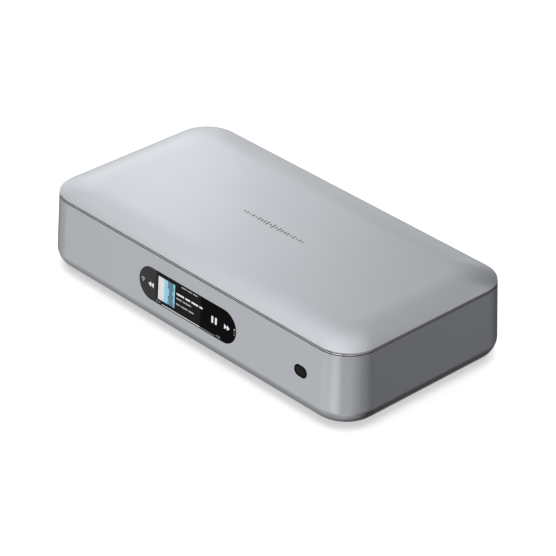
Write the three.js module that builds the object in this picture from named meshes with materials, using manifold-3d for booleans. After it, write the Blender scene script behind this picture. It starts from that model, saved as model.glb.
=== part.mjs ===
// A compact network amplifier: an aluminium case with a touch display, its boards, and its rear sockets.
// Millimetres, +Z up, +X to the right as seen from the front, and the front faces -Y.
// The origin is on the ground under the middle of the case.

import * as THREE from "three";
import { mergeVertices } from "three/addons/utils/BufferGeometryUtils.js";
import Module from "manifold-3d";

// ---------------------------------------------------------------- driving dimensions

// Clearances
const FIT = 0.3; // between pieces that touch or sit in each other
const SLOT_FIT = 0.35; // around a piece that stands in an opening

// Case
const RIM_WIDTH = 316;
const RIM_DEPTH = 163;
const RIM_RADIUS = 26;
const CASE_LIFT = 1.5; // underside of the case above the ground
const CASE_HEIGHT = 57; // underside to rim
const DRAFT = 0.05; // spread of each wall for every millimetre down
const WALL = 3;
const ROLL_IN = 13; // the rounded lower edge, inwards
const ROLL_UP = 13; // the rounded lower edge, upwards
const LAND = 3; // flat strip under the case, outside the base plate
const LEDGE = 8; // inward ledge that the base plate is pulled up against
const LEDGE_THICK = 2.5;

// Trim ring, between case and cover
const RING_GAP = 0.4; // dark line under and over the ring
const RING_SET_IN = 0.3;
const RING_THICK = 0.9;
const RING_CHAMFER = 0.3;
const RING_FLANGE = 6.2; // how far the flange reaches in
const RING_LEG = 1.6;
const RING_LEG_DROP = 4.4;

// Cover
const COVER_SET_IN = 0.25;
const COVER_EDGE = 0.5; // upright edge and its rounding
const COVER_THICK = 2.4;
const CROWN_RISE = 4.9;
const CROWN_BORDER = 28.5; // width of the curved border
const CROWN_POWER = 2.2; // how fast the curve flattens towards the middle
const PLATEAU_RADIUS = 17;
const SKIRT_THICK = 1.6;
const SKIRT_DROP = 3;

// Base plate, feet and through screws
const PLATE_THICK = 2.2;
const FOOT_RADIUS = 9;
const FOOT_RECESS = 1;
const FOOT_INSET = [46, 35.5]; // middle of a foot inside the rim
const BOSS_RADIUS = 4;
const BOSS_HEIGHT = 12; // plate to the underside of the boards
const SCREW_RADIUS = 1.3;
const SCREW_HEAD_RADIUS = 2.8;
const SCREW_HEAD_HEIGHT = 1.6;
const SCREW_LENGTH = 18;
const COLUMN_RADIUS = 3.5;
const VENT = { width: 2.4, length: 34, pitch: 8, count: 6, place: 56 };

// Boards
const BOARD_THICK = 1.6;
const BOARD_MARGIN = 1.7; // board edge to the nearest boss
const BOARD_SPLIT = 2; // between the two boards
const BOARD_FRONT_SPACE = 18; // from the front wall to the boards
const PIN_RADIUS = 1.4;
const PIN_HOLE_RADIUS = 1.75;
const PIN_STANDS = 1.2;
const PIN_SEAT_RADIUS = 3;
const PIN_INSET = 6;
const PIN_INSET_REAR = 18;

// Rear bay
const BAY_MARGIN = 10; // end of the bay to the start of the case's corner
const BAY_LOW = 12; // bay floor above the underside of the case
const BAY_HEADROOM = 9; // top of the bay to the rim
const BAY_DEPTH = 16.5; // from the edge of the bay to its wall
const BAY_EDGE_SET_IN = 1;
const BAY_WALL = 2;
const BAY_FLANGE = 2.5;
const BAY_FLANGE_THICK = 2.2;
const UPRIGHT = { width: 10, depth: 8.5, height: 36 };

// Display and remote receiver
const GLASS_WIDTH = 101.2;
const GLASS_HEIGHT = 25.4;
const GLASS_SHORT = 0.2; // back of the glass to the inside of the wall
const GLASS_DROP = 24.6; // rim to the middle of the glass
const LCD_BORDER = 2.4; // how far the display body reaches past the glass
const LCD_THICK = 3;
const LCD_CELL_MARGIN = 1.5;
const LCD_CELL_THICK = 0.9;
const GASKET_THICK = 0.6;
const FRAME_THICK = 1.2;
const FRAME_EAR = 9;
const STUD_RADIUS = 2;
const TOUCH_BOARD = { width: 70, height: 20, thick: 1.2 };
const FLEX = { width: 16, thick: 0.3 };
const RECEIVER_SIDE = 42.6; // middle of the window to the side of the rim
const RECEIVER_WIDTH = 11.8;
const RECEIVER_HEIGHT = 8.4;
const RECEIVER_LIP = 1.4;
const RECEIVER_LIP_THICK = 1.2;
const RECEIVER_BOARD = { width: 17, height: 13, thick: 1, behind: 4.2, eye: 2.2, eyeProud: 1.6 };

// Rear sockets: width, height and depth behind the bay wall
const INLET = { width: 22, height: 14.5, depth: 19, mouth: [17.2, 8.8], mouthDepth: 12 };
const INLET_PIN = { radius: 1.2, pitch: 8.6 };
const BUTTON = { width: 8, radius: 2.3, flange: 3.2, flangeThick: 1, travel: 0.8, proud: 1.4, rise: 3.4 };
const USB = { width: 14, height: 7.2, depth: 14, mouth: [12.4, 5.2], mouthDepth: 12, tongue: [11, 1.7] };
const LAN = { width: 16, height: 13.4, depth: 18, mouth: [11.8, 7.4], mouthDepth: 15, low: 2.2 };
const LAN_NOTCH = { width: 6, height: 2 };
const HDMI = { width: 15, height: 6.4, depth: 11, mouth: [13.6, 4.6], mouthDepth: 9.5, tongue: [11, 1] };
const OPTICAL = { width: 11, height: 11, depth: 14, mouthDepth: 11 };
const FLAP = { width: 7, height: 7, thick: 0.8, rim: 1.4, pin: 0.55, back: 1.2 };
const RCA = { width: 13, height: 28, depth: 13, pitch: 14, radius: 4.1, bore: 1.6, proud: 8 };
const POST = { pitch: 19, rise: 18, radius: 6.2, length: 11.7, stud: 2.5, hole: 3.2 };
const KNURL = { lobes: 12, depth: 0.5 };
const STEM = { tail: 1.4, tailLow: -14, nut: 4.5, nutLow: -6, collar: 2.9 };
const WASHER = { radius: 5, top: 1.5 };
const WIRE_HOLE = { radius: 1.1, up: 3.2 };
const CORE = { radius: 4.2, low: 2.6, high: 8.6 };
const CAP = { low: 1.9, coreBore: 9, endWall: 1.2 };

// Parts on the boards
const SHIELD = { width: 40, depth: 34, height: 5 };
const RADIO = { width: 18, depth: 24, height: 2.6 };
const ANTENNA = { width: 34, height: 9, thick: 1 };
const CHIP = { width: 14, height: 1.2 };
const SINK = { fins: 8, pitch: 7, fin: 1.8, base: 4, height: 20, depth: 40 };
const CHOKE = { width: 16, height: 12 };
const RAIL_CAN = { radius: 8, height: 28 };
const MAINS_CAN = { radius: 9, height: 34 };
const MAINS_CHOKE = { radius: 9, hole: 4.2, height: 9 };
const TRANSFORMER = { width: 34, depth: 28, height: 26, core: 12 };
const LEAD = { radius: 2.2, rise: 14, reach: 13 };
const SHEET_THICK = 0.5;
const SHEET_FOLD = 26;
const PLUG = { width: 9, depth: 12, height: 6 }; // on the boards, at each end of the supply lead
const FUSE = { width: 8, depth: 18, height: 7 };
const MEMORY = { width: 9, depth: 12, pitch: 12 };
const BUTTON_SWITCH = { width: 6, depth: 5, height: 6.5 };
const FLEX_SOCKET = { width: 22, depth: 6, height: 2.5 };
const SUNK = 0.5; // how far a part that is one with a board or plate reaches into it

// ---------------------------------------------------------------- places worked out from them

const RIM_Z = CASE_LIFT + CASE_HEIGHT;
const SPREAD = DRAFT * (CASE_HEIGHT - ROLL_UP); // outward at the top of the rounded edge
const LAND_INSET = ROLL_IN + LAND - SPREAD;
const LEDGE_INSET = LAND_INSET + LEDGE;
const PLATE_LOW = CASE_LIFT + FIT;
const PLATE_TOP = PLATE_LOW + PLATE_THICK;
const LEDGE_LOW = PLATE_TOP + FIT;
const LEDGE_TOP = LEDGE_LOW + LEDGE_THICK;
const COLUMN_INSET = LEDGE_INSET + BOSS_RADIUS + FIT;
const COLUMN_X = RIM_WIDTH / 2 - COLUMN_INSET;
const COLUMN_Y = RIM_DEPTH / 2 - COLUMN_INSET;
const SCREW_BOSS_TOP = PLATE_LOW + 10;
const FOOT_PLACE = [RIM_WIDTH / 2 - FOOT_INSET[0], RIM_DEPTH / 2 - FOOT_INSET[1]];
const INSIDE_LEDGE_Y = RIM_DEPTH / 2 - LEDGE_INSET - FIT; // reach of what stands inside the ledge

const RING_LOW = RIM_Z + RING_GAP;
const RING_TOP = RING_LOW + RING_THICK;
const COVER_LOW = RING_TOP + RING_GAP;
const SKIRT_INSET = RING_SET_IN + RING_FLANGE + FIT;

const BOARD_LOW = PLATE_TOP + BOSS_HEIGHT;
const BOARD_TOP = BOARD_LOW + BOARD_THICK;
const PART_LOW = BOARD_TOP + FIT;

const BAY_HALF = RIM_WIDTH / 2 - RIM_RADIUS - BAY_MARGIN;
const BAY_INNER_HALF = BAY_HALF - BAY_WALL;
const BAY_BOTTOM = CASE_LIFT + BAY_LOW;
const BAY_TOP = RIM_Z - BAY_HEADROOM;
const BAY_MIDDLE = (BAY_BOTTOM + BAY_TOP) / 2;
const BAY_EDGE_Y = RIM_DEPTH / 2 - BAY_EDGE_SET_IN;
const PANEL_FACE = BAY_EDGE_Y - BAY_DEPTH + BAY_WALL; // the face that the sockets look out of
const PANEL_BACK = PANEL_FACE - BAY_WALL;
const UPRIGHT_X = BAY_INNER_HALF - UPRIGHT.width / 2;

const BOARD_REAR = PANEL_BACK - 1.5;
const BOARD_FRONT = -RIM_DEPTH / 2 + BOARD_FRONT_SPACE;
const BOARD_SIDE = COLUMN_X - BOSS_RADIUS - BOARD_MARGIN;

const GLASS_Z = RIM_Z - GLASS_DROP;
const FRONT_Y = -(RIM_DEPTH / 2 + DRAFT * GLASS_DROP);
const LCD_FRONT = -WALL - FIT - GASKET_THICK - FIT; // outward distances from the face of the front wall
const LCD_BACK = LCD_FRONT - LCD_THICK;
const FRAME_FRONT = LCD_BACK - FIT;
const FRAME_BACK = FRAME_FRONT - FRAME_THICK;
const TOUCH_FRONT = FRAME_BACK - FIT;
const TOUCH_BACK = TOUCH_FRONT - TOUCH_BOARD.thick;
const RECEIVER_X = RIM_WIDTH / 2 - RECEIVER_SIDE;
const LCD_WIDTH = GLASS_WIDTH + 2 * LCD_BORDER;
const LCD_HEIGHT = GLASS_HEIGHT + 2 * LCD_BORDER;

// The sockets stand along the bay with equal spaces between them.
const ROW = ["inlet", "button", "usb", "lan", "hdmi", "optical", "rca", "posts"];
const ROW_WIDTH = {
  inlet: INLET.width,
  button: BUTTON.width,
  usb: USB.width,
  lan: LAN.width,
  hdmi: HDMI.width,
  optical: OPTICAL.width,
  rca: RCA.width,
  posts: POST.pitch + 2 * POST.radius,
};
const ROW_TAKEN = ROW.reduce((sum, name) => sum + ROW_WIDTH[name], 0);
const ROW_SPACE = (2 * BAY_INNER_HALF - ROW_TAKEN) / (ROW.length + 1);
const SOCKET_X = socketPlaces();
const SPLIT_X = SOCKET_X.inlet + (INLET.width + ROW_SPACE) / 2;
const PSU_BOARD = { left: -BOARD_SIDE, right: SPLIT_X - BOARD_SPLIT / 2 };
const MAIN_BOARD = { left: SPLIT_X + BOARD_SPLIT / 2, right: BOARD_SIDE };

const SINK_WIDTH = SINK.fins * SINK.pitch;
const CHOKE_Y = PANEL_BACK - 22;
const SINK_Y = CHOKE_Y - CHOKE.width / 2 - 3 - SINK.depth / 2;
const LEAD_Y = BOARD_FRONT + 18;
const FLEX_SOCKET_Y = BOARD_FRONT + 12;

// Finishes: colour, roughness, metalness
const FINISH = {
  satinAluminium: [0xaeb1b6, 0.38, 0.9],
  polished: [0xd8dade, 0.12, 1],
  blackPlastic: [0x17181a, 0.55, 0],
  darkRubber: [0x202122, 0.85, 0],
  darkGlass: [0x08090b, 0.05, 0],
  steel: [0x9a9ca0, 0.35, 1],
  board: [0x12402a, 0.5, 0],
  amber: [0xb4772a, 0.5, 0.1],
  ferrite: [0x2b2c2e, 0.7, 0.1],
  redPlastic: [0x8e1f1c, 0.4, 0],
  brass: [0xc9a24c, 0.25, 1],
  canSleeve: [0x1d2440, 0.35, 0.1],
  whiteSheet: [0xe4e2da, 0.6, 0],
};

// ---------------------------------------------------------------- shape helpers

const wasm = await Module();
wasm.setup();

const CORNER_STEPS = 7;
const ROUND = 14; // sides of a small round piece

function socketPlaces() {
  const places = {};
  let x = -BAY_INNER_HALF;
  for (const name of ROW) {
    x += ROW_SPACE + ROW_WIDTH[name] / 2;
    places[name] = x;
    x += ROW_WIDTH[name] / 2;
  }
  return places;
}

function solidOf(geometry) {
  const bare = geometry.index ? geometry.toNonIndexed() : geometry.clone();
  bare.deleteAttribute("normal");
  bare.deleteAttribute("uv");
  const merged = mergeVertices(bare, 1e-4);
  const index = merged.index.array;
  const triVerts = [];
  for (let i = 0; i < index.length; i += 3) {
    const [a, b, c] = [index[i], index[i + 1], index[i + 2]];
    if (a !== b && b !== c && c !== a) triVerts.push(a, b, c);
  }
  return new wasm.Manifold(
    new wasm.Mesh({
      numProp: 3,
      vertProperties: merged.attributes.position.array,
      triVerts: new Uint32Array(triVerts),
    }),
  );
}

function geometryOf(solid) {
  const made = solid.getMesh();
  const geometry = new THREE.BufferGeometry();
  geometry.setAttribute("position", new THREE.BufferAttribute(made.vertProperties, 3));
  geometry.setIndex(new THREE.BufferAttribute(made.triVerts, 1));
  geometry.computeVertexNormals();
  return geometry;
}

function joined(...geometries) {
  return geometryOf(geometries.map(solidOf).reduce((all, next) => all.add(next)));
}

function cut(body, ...tools) {
  return geometryOf(tools.map(solidOf).reduce((left, tool) => left.subtract(tool), solidOf(body)));
}

function block(x, y, z) {
  const [x0, x1] = x;
  const [y0, y1] = y;
  const [z0, z1] = z;
  const box = new THREE.BoxGeometry(x1 - x0, y1 - y0, z1 - z0);
  return box.translate((x0 + x1) / 2, (y0 + y1) / 2, (z0 + z1) / 2);
}

function around(centre, size) {
  return [centre - size / 2, centre + size / 2];
}

// A round bar along Z.
function bar(radius, low, high, sides = ROUND) {
  const cylinder = new THREE.CylinderGeometry(radius, radius, high - low, sides);
  return cylinder.rotateX(Math.PI / 2).translate(0, 0, (low + high) / 2);
}

// A turned piece about Z from [radius, height] pairs. The profile runs up its outer side.
function turned(profile, sides = ROUND) {
  const points = profile.map(([radius, height]) => new THREE.Vector2(radius, height));
  return new THREE.LatheGeometry(points, sides).rotateX(Math.PI / 2);
}

function slabShape(width, height, radius) {
  const shape = new THREE.Shape();
  const [x, y] = [width / 2 - radius, height / 2 - radius];
  shape.absarc(x, -y, radius, -Math.PI / 2, 0, false);
  shape.absarc(x, y, radius, 0, Math.PI / 2, false);
  shape.absarc(-x, y, radius, Math.PI / 2, Math.PI, false);
  shape.absarc(-x, -y, radius, Math.PI, 1.5 * Math.PI, false);
  return shape;
}

// A rounded slab between two heights.
function slab(width, depth, radius, low, high, curveSegments = 3) {
  const options = { depth: high - low, bevelEnabled: false, curveSegments };
  return new THREE.ExtrudeGeometry(slabShape(width, depth, radius), options).translate(0, 0, low);
}

// The same slab standing on the front wall: `inner` and `outer` are distances out of the wall's face.
function wallSlab(width, height, radius, inner, outer, curveSegments = 3) {
  const flat = slab(width, height, radius, inner, outer, curveSegments);
  return flat.rotateX(Math.PI / 2);
}

// One rounded rectangle of the case, `inset` inside the rim's outline.
function caseLoop(inset, z, radius = RIM_RADIUS - inset) {
  const corner = Math.max(radius, 1.5);
  const [x, y] = [RIM_WIDTH / 2 - inset - corner, RIM_DEPTH / 2 - inset - corner];
  const centres = [[x, y], [-x, y], [-x, -y], [x, -y]];
  return centres.flatMap(([cx, cy], quarter) =>
    Array.from({ length: CORNER_STEPS + 1 }, (_, k) => {
      const angle = ((quarter + k / CORNER_STEPS) * Math.PI) / 2;
      return new THREE.Vector3(cx + corner * Math.cos(angle), cy + corner * Math.sin(angle), z);
    }),
  );
}

// A skin through loops of equal length. A closed one runs up its outside and down its inside;
// an open one gets a flat cap under its first loop and over its last.
function loft(loops, closed) {
  const count = loops[0].length;
  const points = loops.flat();
  const index = [];
  const bands = closed ? loops.length : loops.length - 1;
  for (let band = 0; band < bands; band++) {
    const low = band * count;
    const high = ((band + 1) % loops.length) * count;
    for (let k = 0; k < count; k++) {
      const next = (k + 1) % count;
      index.push(low + k, low + next, high + next);
      index.push(low + k, high + next, high + k);
    }
  }
  if (!closed) {
    const last = (loops.length - 1) * count;
    for (let k = 1; k < count - 1; k++) {
      index.push(0, k + 1, k);
      index.push(last, last + k, last + k + 1);
    }
  }
  const geometry = new THREE.BufferGeometry().setFromPoints(points);
  geometry.setIndex(index);
  geometry.computeVertexNormals();
  return geometry;
}

function piece(name, geometry, finish, place = [0, 0, 0]) {
  const [color, roughness, metalness] = finish;
  const material = new THREE.MeshStandardMaterial({ color, roughness, metalness });
  const mesh = new THREE.Mesh(geometry, material);
  mesh.name = name;
  mesh.position.set(...place);
  return mesh;
}

function atCorners(x, y) {
  return [[x, y], [-x, y], [-x, -y], [x, -y]];
}

// ---------------------------------------------------------------- case

// The leaning plane of the front wall, centred on the display.
const frontWall = new THREE.Group();
frontWall.position.set(0, FRONT_Y, GLASS_Z);
frontWall.rotation.x = -Math.atan(DRAFT);
frontWall.updateMatrix();

function receiverShape(grow, inner, outer) {
  const [width, height] = [RECEIVER_WIDTH + 2 * grow, RECEIVER_HEIGHT + 2 * grow];
  const opening = wallSlab(width, height, height / 2 - 0.01, inner, outer, 5);
  return opening.translate(RECEIVER_X, 0, 0);
}

function glassShape(grow, inner, outer) {
  const [width, height] = [GLASS_WIDTH + 2 * grow, GLASS_HEIGHT + 2 * grow];
  return wallSlab(width, height, height / 2 - 0.01, inner, outer, 8);
}

function bodyShell() {
  const steps = 4;
  const innerIn = ROLL_IN - WALL;
  const innerUp = CASE_LIFT + ROLL_UP - LEDGE_TOP;
  const section = [[LAND_INSET, CASE_LIFT], [ROLL_IN - SPREAD, CASE_LIFT]];
  for (let k = 1; k <= steps; k++) {
    const a = (k / steps) * (Math.PI / 2);
    section.push([ROLL_IN * (1 - Math.sin(a)) - SPREAD, CASE_LIFT + ROLL_UP * (1 - Math.cos(a))]);
  }
  section.push([0, RIM_Z], [WALL, RIM_Z]);
  for (let k = steps; k >= 0; k -= 2) {
    const a = (k / steps) * (Math.PI / 2);
    section.push([ROLL_IN - innerIn * Math.sin(a) - SPREAD, LEDGE_TOP + innerUp * (1 - Math.cos(a))]);
  }
  section.push([LEDGE_INSET, LEDGE_TOP], [LEDGE_INSET, LEDGE_LOW], [LAND_INSET, LEDGE_LOW]);
  const shell = loft(section.map(([inset, z]) => caseLoop(inset, z)), true);

  const through = [-2 * WALL, WALL];
  const display = glassShape(SLOT_FIT, ...through).applyMatrix4(frontWall.matrix);
  const receiver = receiverShape(SLOT_FIT, ...through).applyMatrix4(frontWall.matrix);
  const bay = block(
    around(0, 2 * (BAY_HALF + SLOT_FIT)),
    [PANEL_FACE, RIM_DEPTH],
    [BAY_BOTTOM - SLOT_FIT, BAY_TOP + SLOT_FIT],
  );
  const opened = cut(shell, display, receiver, bay);
  const studs = [-1, 1].map((side) => {
    const stud = bar(STUD_RADIUS, WALL / 2, 1 - FRAME_BACK, 10).rotateX(-Math.PI / 2);
    return stud.translate(side * (LCD_WIDTH / 2 + FRAME_EAR / 2), 0, 0).applyMatrix4(frontWall.matrix);
  });
  return piece("body_shell", joined(opened, ...studs), FINISH.satinAluminium);
}

function trimRing() {
  const [outer, inner] = [RING_SET_IN, RING_SET_IN + RING_FLANGE];
  const leg = WALL + FIT;
  const section = [
    [leg, RIM_Z - RING_LEG_DROP],
    [leg, RING_LOW],
    [outer, RING_LOW],
    [outer, RING_TOP - RING_CHAMFER],
    [outer + RING_CHAMFER, RING_TOP],
    [inner, RING_TOP],
    [inner, RING_LOW],
    [leg + RING_LEG, RING_LOW],
    [leg + RING_LEG, RIM_Z - RING_LEG_DROP],
  ];
  const ring = loft(section.map(([inset, z]) => caseLoop(inset, z)), true);
  return piece("trim_ring", ring, FINISH.polished);
}

// Height of the cover's crown at a share of its border, from the edge to the flat middle.
function crown(share) {
  return CROWN_RISE * (1 - (1 - share) ** CROWN_POWER);
}

function crownLoop(share, z, setIn) {
  const inset = setIn + share * (COVER_SET_IN + CROWN_BORDER - setIn);
  return caseLoop(inset, z, THREE.MathUtils.lerp(RIM_RADIUS - setIn, PLATEAU_RADIUS, share));
}

function topCover() {
  const outer = [0, 0.08, 0.2, 0.36, 0.56, 0.78, 1];
  const inner = [1, 0.6, 0.25];
  const skirt = SKIRT_INSET + SKIRT_THICK;
  const crownLow = COVER_LOW + COVER_EDGE;
  const loops = [
    ...inner.map((share) => crownLoop(share, crownLow + crown(share) - COVER_THICK, skirt)),
    caseLoop(skirt, COVER_LOW - FIT),
    caseLoop(skirt, RIM_Z - SKIRT_DROP),
    caseLoop(SKIRT_INSET, RIM_Z - SKIRT_DROP),
    caseLoop(SKIRT_INSET, COVER_LOW),
    caseLoop(COVER_SET_IN, COVER_LOW),
    caseLoop(COVER_SET_IN, COVER_LOW + COVER_EDGE / 2),
    ...outer.map((share) => crownLoop(share, crownLow + crown(share), COVER_SET_IN + COVER_EDGE / 2)),
  ];
  const shell = loft(loops, false);
  const columns = atCorners(COLUMN_X, COLUMN_Y).map(([x, y]) => {
    const column = bar(COLUMN_RADIUS, SCREW_BOSS_TOP + FIT, COVER_LOW + CROWN_RISE / 2, 16);
    return column.translate(x, y, 0);
  });
  const pilots = atCorners(COLUMN_X, COLUMN_Y).map(([x, y]) => {
    const pilot = bar(SCREW_RADIUS + FIT, SCREW_BOSS_TOP, PLATE_LOW + SCREW_LENGTH + 2, 10);
    return pilot.translate(x, y, 0);
  });
  return piece("top_cover", cut(joined(shell, ...columns), ...pilots), FINISH.satinAluminium);
}

function boardPins({ left, right }) {
  const [x0, x1] = [left + PIN_INSET, right - PIN_INSET];
  const [y0, y1] = [1 + PIN_SEAT_RADIUS - INSIDE_LEDGE_Y, BOARD_REAR - PIN_INSET_REAR];
  return [[x0, y0], [x1, y0], [x0, y1], [x1, y1]];
}

function basePlate() {
  const [width, depth] = [RIM_WIDTH - 2 * (LAND_INSET + FIT), RIM_DEPTH - 2 * (LAND_INSET + FIT)];
  const radius = RIM_RADIUS - LAND_INSET - FIT;
  const plate = slab(width, depth, radius, PLATE_LOW, PLATE_TOP, 6);
  const sunk = PLATE_TOP - SUNK;
  const screwBosses = atCorners(COLUMN_X, COLUMN_Y).map(([x, y]) =>
    bar(BOSS_RADIUS, sunk, SCREW_BOSS_TOP).translate(x, y, 0),
  );
  const pins = [...boardPins(PSU_BOARD), ...boardPins(MAIN_BOARD)].map(([x, y]) => {
    const top = BOARD_TOP + PIN_STANDS;
    const seat = BOARD_LOW - FIT;
    const foot = [[0, sunk], [PIN_SEAT_RADIUS, sunk], [PIN_SEAT_RADIUS, seat]];
    return turned([...foot, [PIN_RADIUS, seat], [PIN_RADIUS, top], [0, top]], 10).translate(x, y, 0);
  });
  const uprights = [-1, 1].flatMap((side) => {
    const [x, front] = [around(side * UPRIGHT_X, UPRIGHT.width), PANEL_BACK - FIT - UPRIGHT.depth];
    return [
      block(x, [front, INSIDE_LEDGE_Y], [sunk, LEDGE_TOP + 2]),
      block(x, [front, PANEL_BACK - FIT], [LEDGE_TOP + FIT, PLATE_TOP + UPRIGHT.height]),
    ];
  });
  const screwHoles = atCorners(COLUMN_X, COLUMN_Y).flatMap(([x, y]) => [
    bar(SCREW_RADIUS + FIT, 0, SCREW_BOSS_TOP + 1, 10).translate(x, y, 0),
    bar(SCREW_HEAD_RADIUS + FIT, 0, PLATE_LOW + SCREW_HEAD_HEIGHT + 2 * FIT).translate(x, y, 0),
  ]);
  const pilots = [-1, 1].map((side) => {
    const pilot = bar(SCREW_RADIUS + FIT, 0, 9, 10).rotateX(Math.PI / 2);
    return pilot.translate(side * UPRIGHT_X, PANEL_BACK + 1, BAY_MIDDLE);
  });
  const footRecesses = atCorners(...FOOT_PLACE).map(([x, y]) =>
    bar(FOOT_RADIUS + FIT, 0, PLATE_LOW + FOOT_RECESS, 20).translate(x, y, 0),
  );
  const vents = [-1, 1].flatMap((side) =>
    Array.from({ length: VENT.count }, (_, k) => {
      const y = (k - (VENT.count - 1) / 2) * VENT.pitch;
      return block(around(side * VENT.place, VENT.length), around(y, VENT.width), [0, PLATE_TOP + 1]);
    }),
  );
  const whole = joined(plate, ...screwBosses, ...pins, ...uprights);
  const finished = cut(whole, ...screwHoles, ...pilots, ...footRecesses, ...vents);
  return piece("base_plate", finished, FINISH.blackPlastic);
}

function feet() {
  const top = PLATE_LOW + FOOT_RECESS - FIT;
  const profile = [[0, 0], [FOOT_RADIUS - 1, 0], [FOOT_RADIUS, 0.8], [FOOT_RADIUS, top], [0, top]];
  return atCorners(...FOOT_PLACE).map(([x, y], k) =>
    piece("foot_" + (k + 1), turned(profile, 20), FINISH.darkRubber, [x, y, 0]),
  );
}

// A screw along Z with its head at the bottom.
function screw(length) {
  const [head, shank, drive] = [SCREW_HEAD_RADIUS, SCREW_RADIUS, 1.2];
  const top = SCREW_HEAD_HEIGHT;
  const profile = [
    [0, 0.9], [drive, 0.9], [drive, 0], [head, 0], [head, top],
    [shank, top], [shank, length - 0.6], [0, length],
  ];
  return turned(profile, 10);
}

function baseScrews() {
  return atCorners(COLUMN_X, COLUMN_Y).map(([x, y], k) =>
    piece("base_screw_" + (k + 1), screw(SCREW_LENGTH), FINISH.steel, [x, y, PLATE_LOW + FIT]),
  );
}

// ---------------------------------------------------------------- display and remote receiver

function displayPieces() {
  const glass = piece("display_glass", glassShape(0, GLASS_SHORT - WALL, -0.05), FINISH.darkGlass);

  const gasketFace = [LCD_FRONT + FIT, LCD_FRONT + FIT + GASKET_THICK];
  const gasketRing = cut(
    wallSlab(LCD_WIDTH, LCD_HEIGHT, 3, ...gasketFace),
    glassShape(SLOT_FIT, -2 * WALL, 0),
  );
  const gasket = piece("display_gasket", gasketRing, FINISH.darkRubber);

  const [cellWidth, cellHeight] = [GLASS_WIDTH - 2 * LCD_CELL_MARGIN, GLASS_HEIGHT - 2 * LCD_CELL_MARGIN];
  const panelBody = wallSlab(LCD_WIDTH, LCD_HEIGHT, 2, LCD_BACK, LCD_FRONT);
  const cell = wallSlab(cellWidth, cellHeight, 10, LCD_FRONT - 0.5, LCD_FRONT + LCD_CELL_THICK);
  const lcd = piece("lcd_panel", joined(panelBody, cell), FINISH.darkGlass);

  const earX = LCD_WIDTH / 2 + FRAME_EAR / 2;
  const frameWidth = LCD_WIDTH + 2 * FRAME_EAR;
  const frameHeight = LCD_HEIGHT + 2 * (FIT + FRAME_THICK);
  const tray = wallSlab(frameWidth, frameHeight, 3, FRAME_BACK, LCD_FRONT - 1);
  const pocket = wallSlab(LCD_WIDTH + 2 * FIT, LCD_HEIGHT + 2 * FIT, 2, FRAME_FRONT, 0);
  const window = wallSlab(40, 12, 2, FRAME_BACK - 1, 0);
  const studHoles = [-1, 1].map((side) => {
    const hole = bar(STUD_RADIUS + FIT, 0, 2 - FRAME_BACK, 10).rotateX(-Math.PI / 2);
    return hole.translate(side * earX, 0, 0);
  });
  const frame = piece("display_frame", cut(tray, pocket, window, ...studHoles), FINISH.blackPlastic);

  const circuit = wallSlab(TOUCH_BOARD.width, TOUCH_BOARD.height, 1, TOUCH_BACK, TOUCH_FRONT);
  const controller = wallSlab(9, 9, 0.5, TOUCH_BACK - 1, TOUCH_BACK + 0.5, 1);
  const touchBoard = joined(circuit, controller.translate(-20, 0, 0));
  return [glass, gasket, lcd, frame, piece("touch_board", touchBoard, FINISH.board)];
}

// The ribbon from the touch board to the main board: a thin band along a curve in the YZ plane.
function displayFlex() {
  const start = new THREE.Vector2(FRONT_Y - TOUCH_BACK + 2 * FIT, GLASS_Z + 4);
  const end = new THREE.Vector2(FLEX_SOCKET_Y - FLEX_SOCKET.depth / 2 - 1, PART_LOW + FIT + 0.1);
  const curve = new THREE.CubicBezierCurve(
    start,
    new THREE.Vector2(start.x, start.y - 14),
    new THREE.Vector2(start.x + 1, end.y),
    end,
  );
  const points = curve.getPoints(14);
  const offset = points.map((point, k) => {
    const ahead = points[Math.min(k + 1, points.length - 1)];
    const behind = points[Math.max(k - 1, 0)];
    const along = ahead.clone().sub(behind).normalize();
    return point.clone().add(new THREE.Vector2(-along.y, along.x).multiplyScalar(FLEX.thick));
  });
  const shape = new THREE.Shape([...points, ...offset.reverse()]);
  const band = new THREE.ExtrudeGeometry(shape, { depth: FLEX.width, bevelEnabled: false });
  band.applyMatrix4(new THREE.Matrix4().set(0, 0, 1, -FLEX.width / 2, 1, 0, 0, 0, 0, 1, 0, 0, 0, 0, 0, 1));
  return piece("display_flex", band, FINISH.amber);
}

function receiverPieces() {
  const stem = receiverShape(0, -WALL - 2 * FIT, -0.05);
  const lip = receiverShape(RECEIVER_LIP, -WALL - FIT - RECEIVER_LIP_THICK, -WALL - FIT);
  const { width, height, thick, behind, eye, eyeProud } = RECEIVER_BOARD;
  const back = -WALL - FIT - RECEIVER_LIP_THICK - behind;
  const circuit = wallSlab(width, height, 1, back - thick, back);
  const dome = new THREE.SphereGeometry(eye, 10, 6).translate(0, -back - eyeProud, 0);
  const receiver = wallSlab(6, 6, 0.8, back - FIT, back + eyeProud, 2);
  const board = joined(circuit, receiver, dome).translate(RECEIVER_X, 0, 0);
  return [
    piece("ir_window", joined(stem, lip), FINISH.darkGlass),
    piece("ir_board", board, FINISH.board),
  ];
}

// ---------------------------------------------------------------- boards

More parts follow.
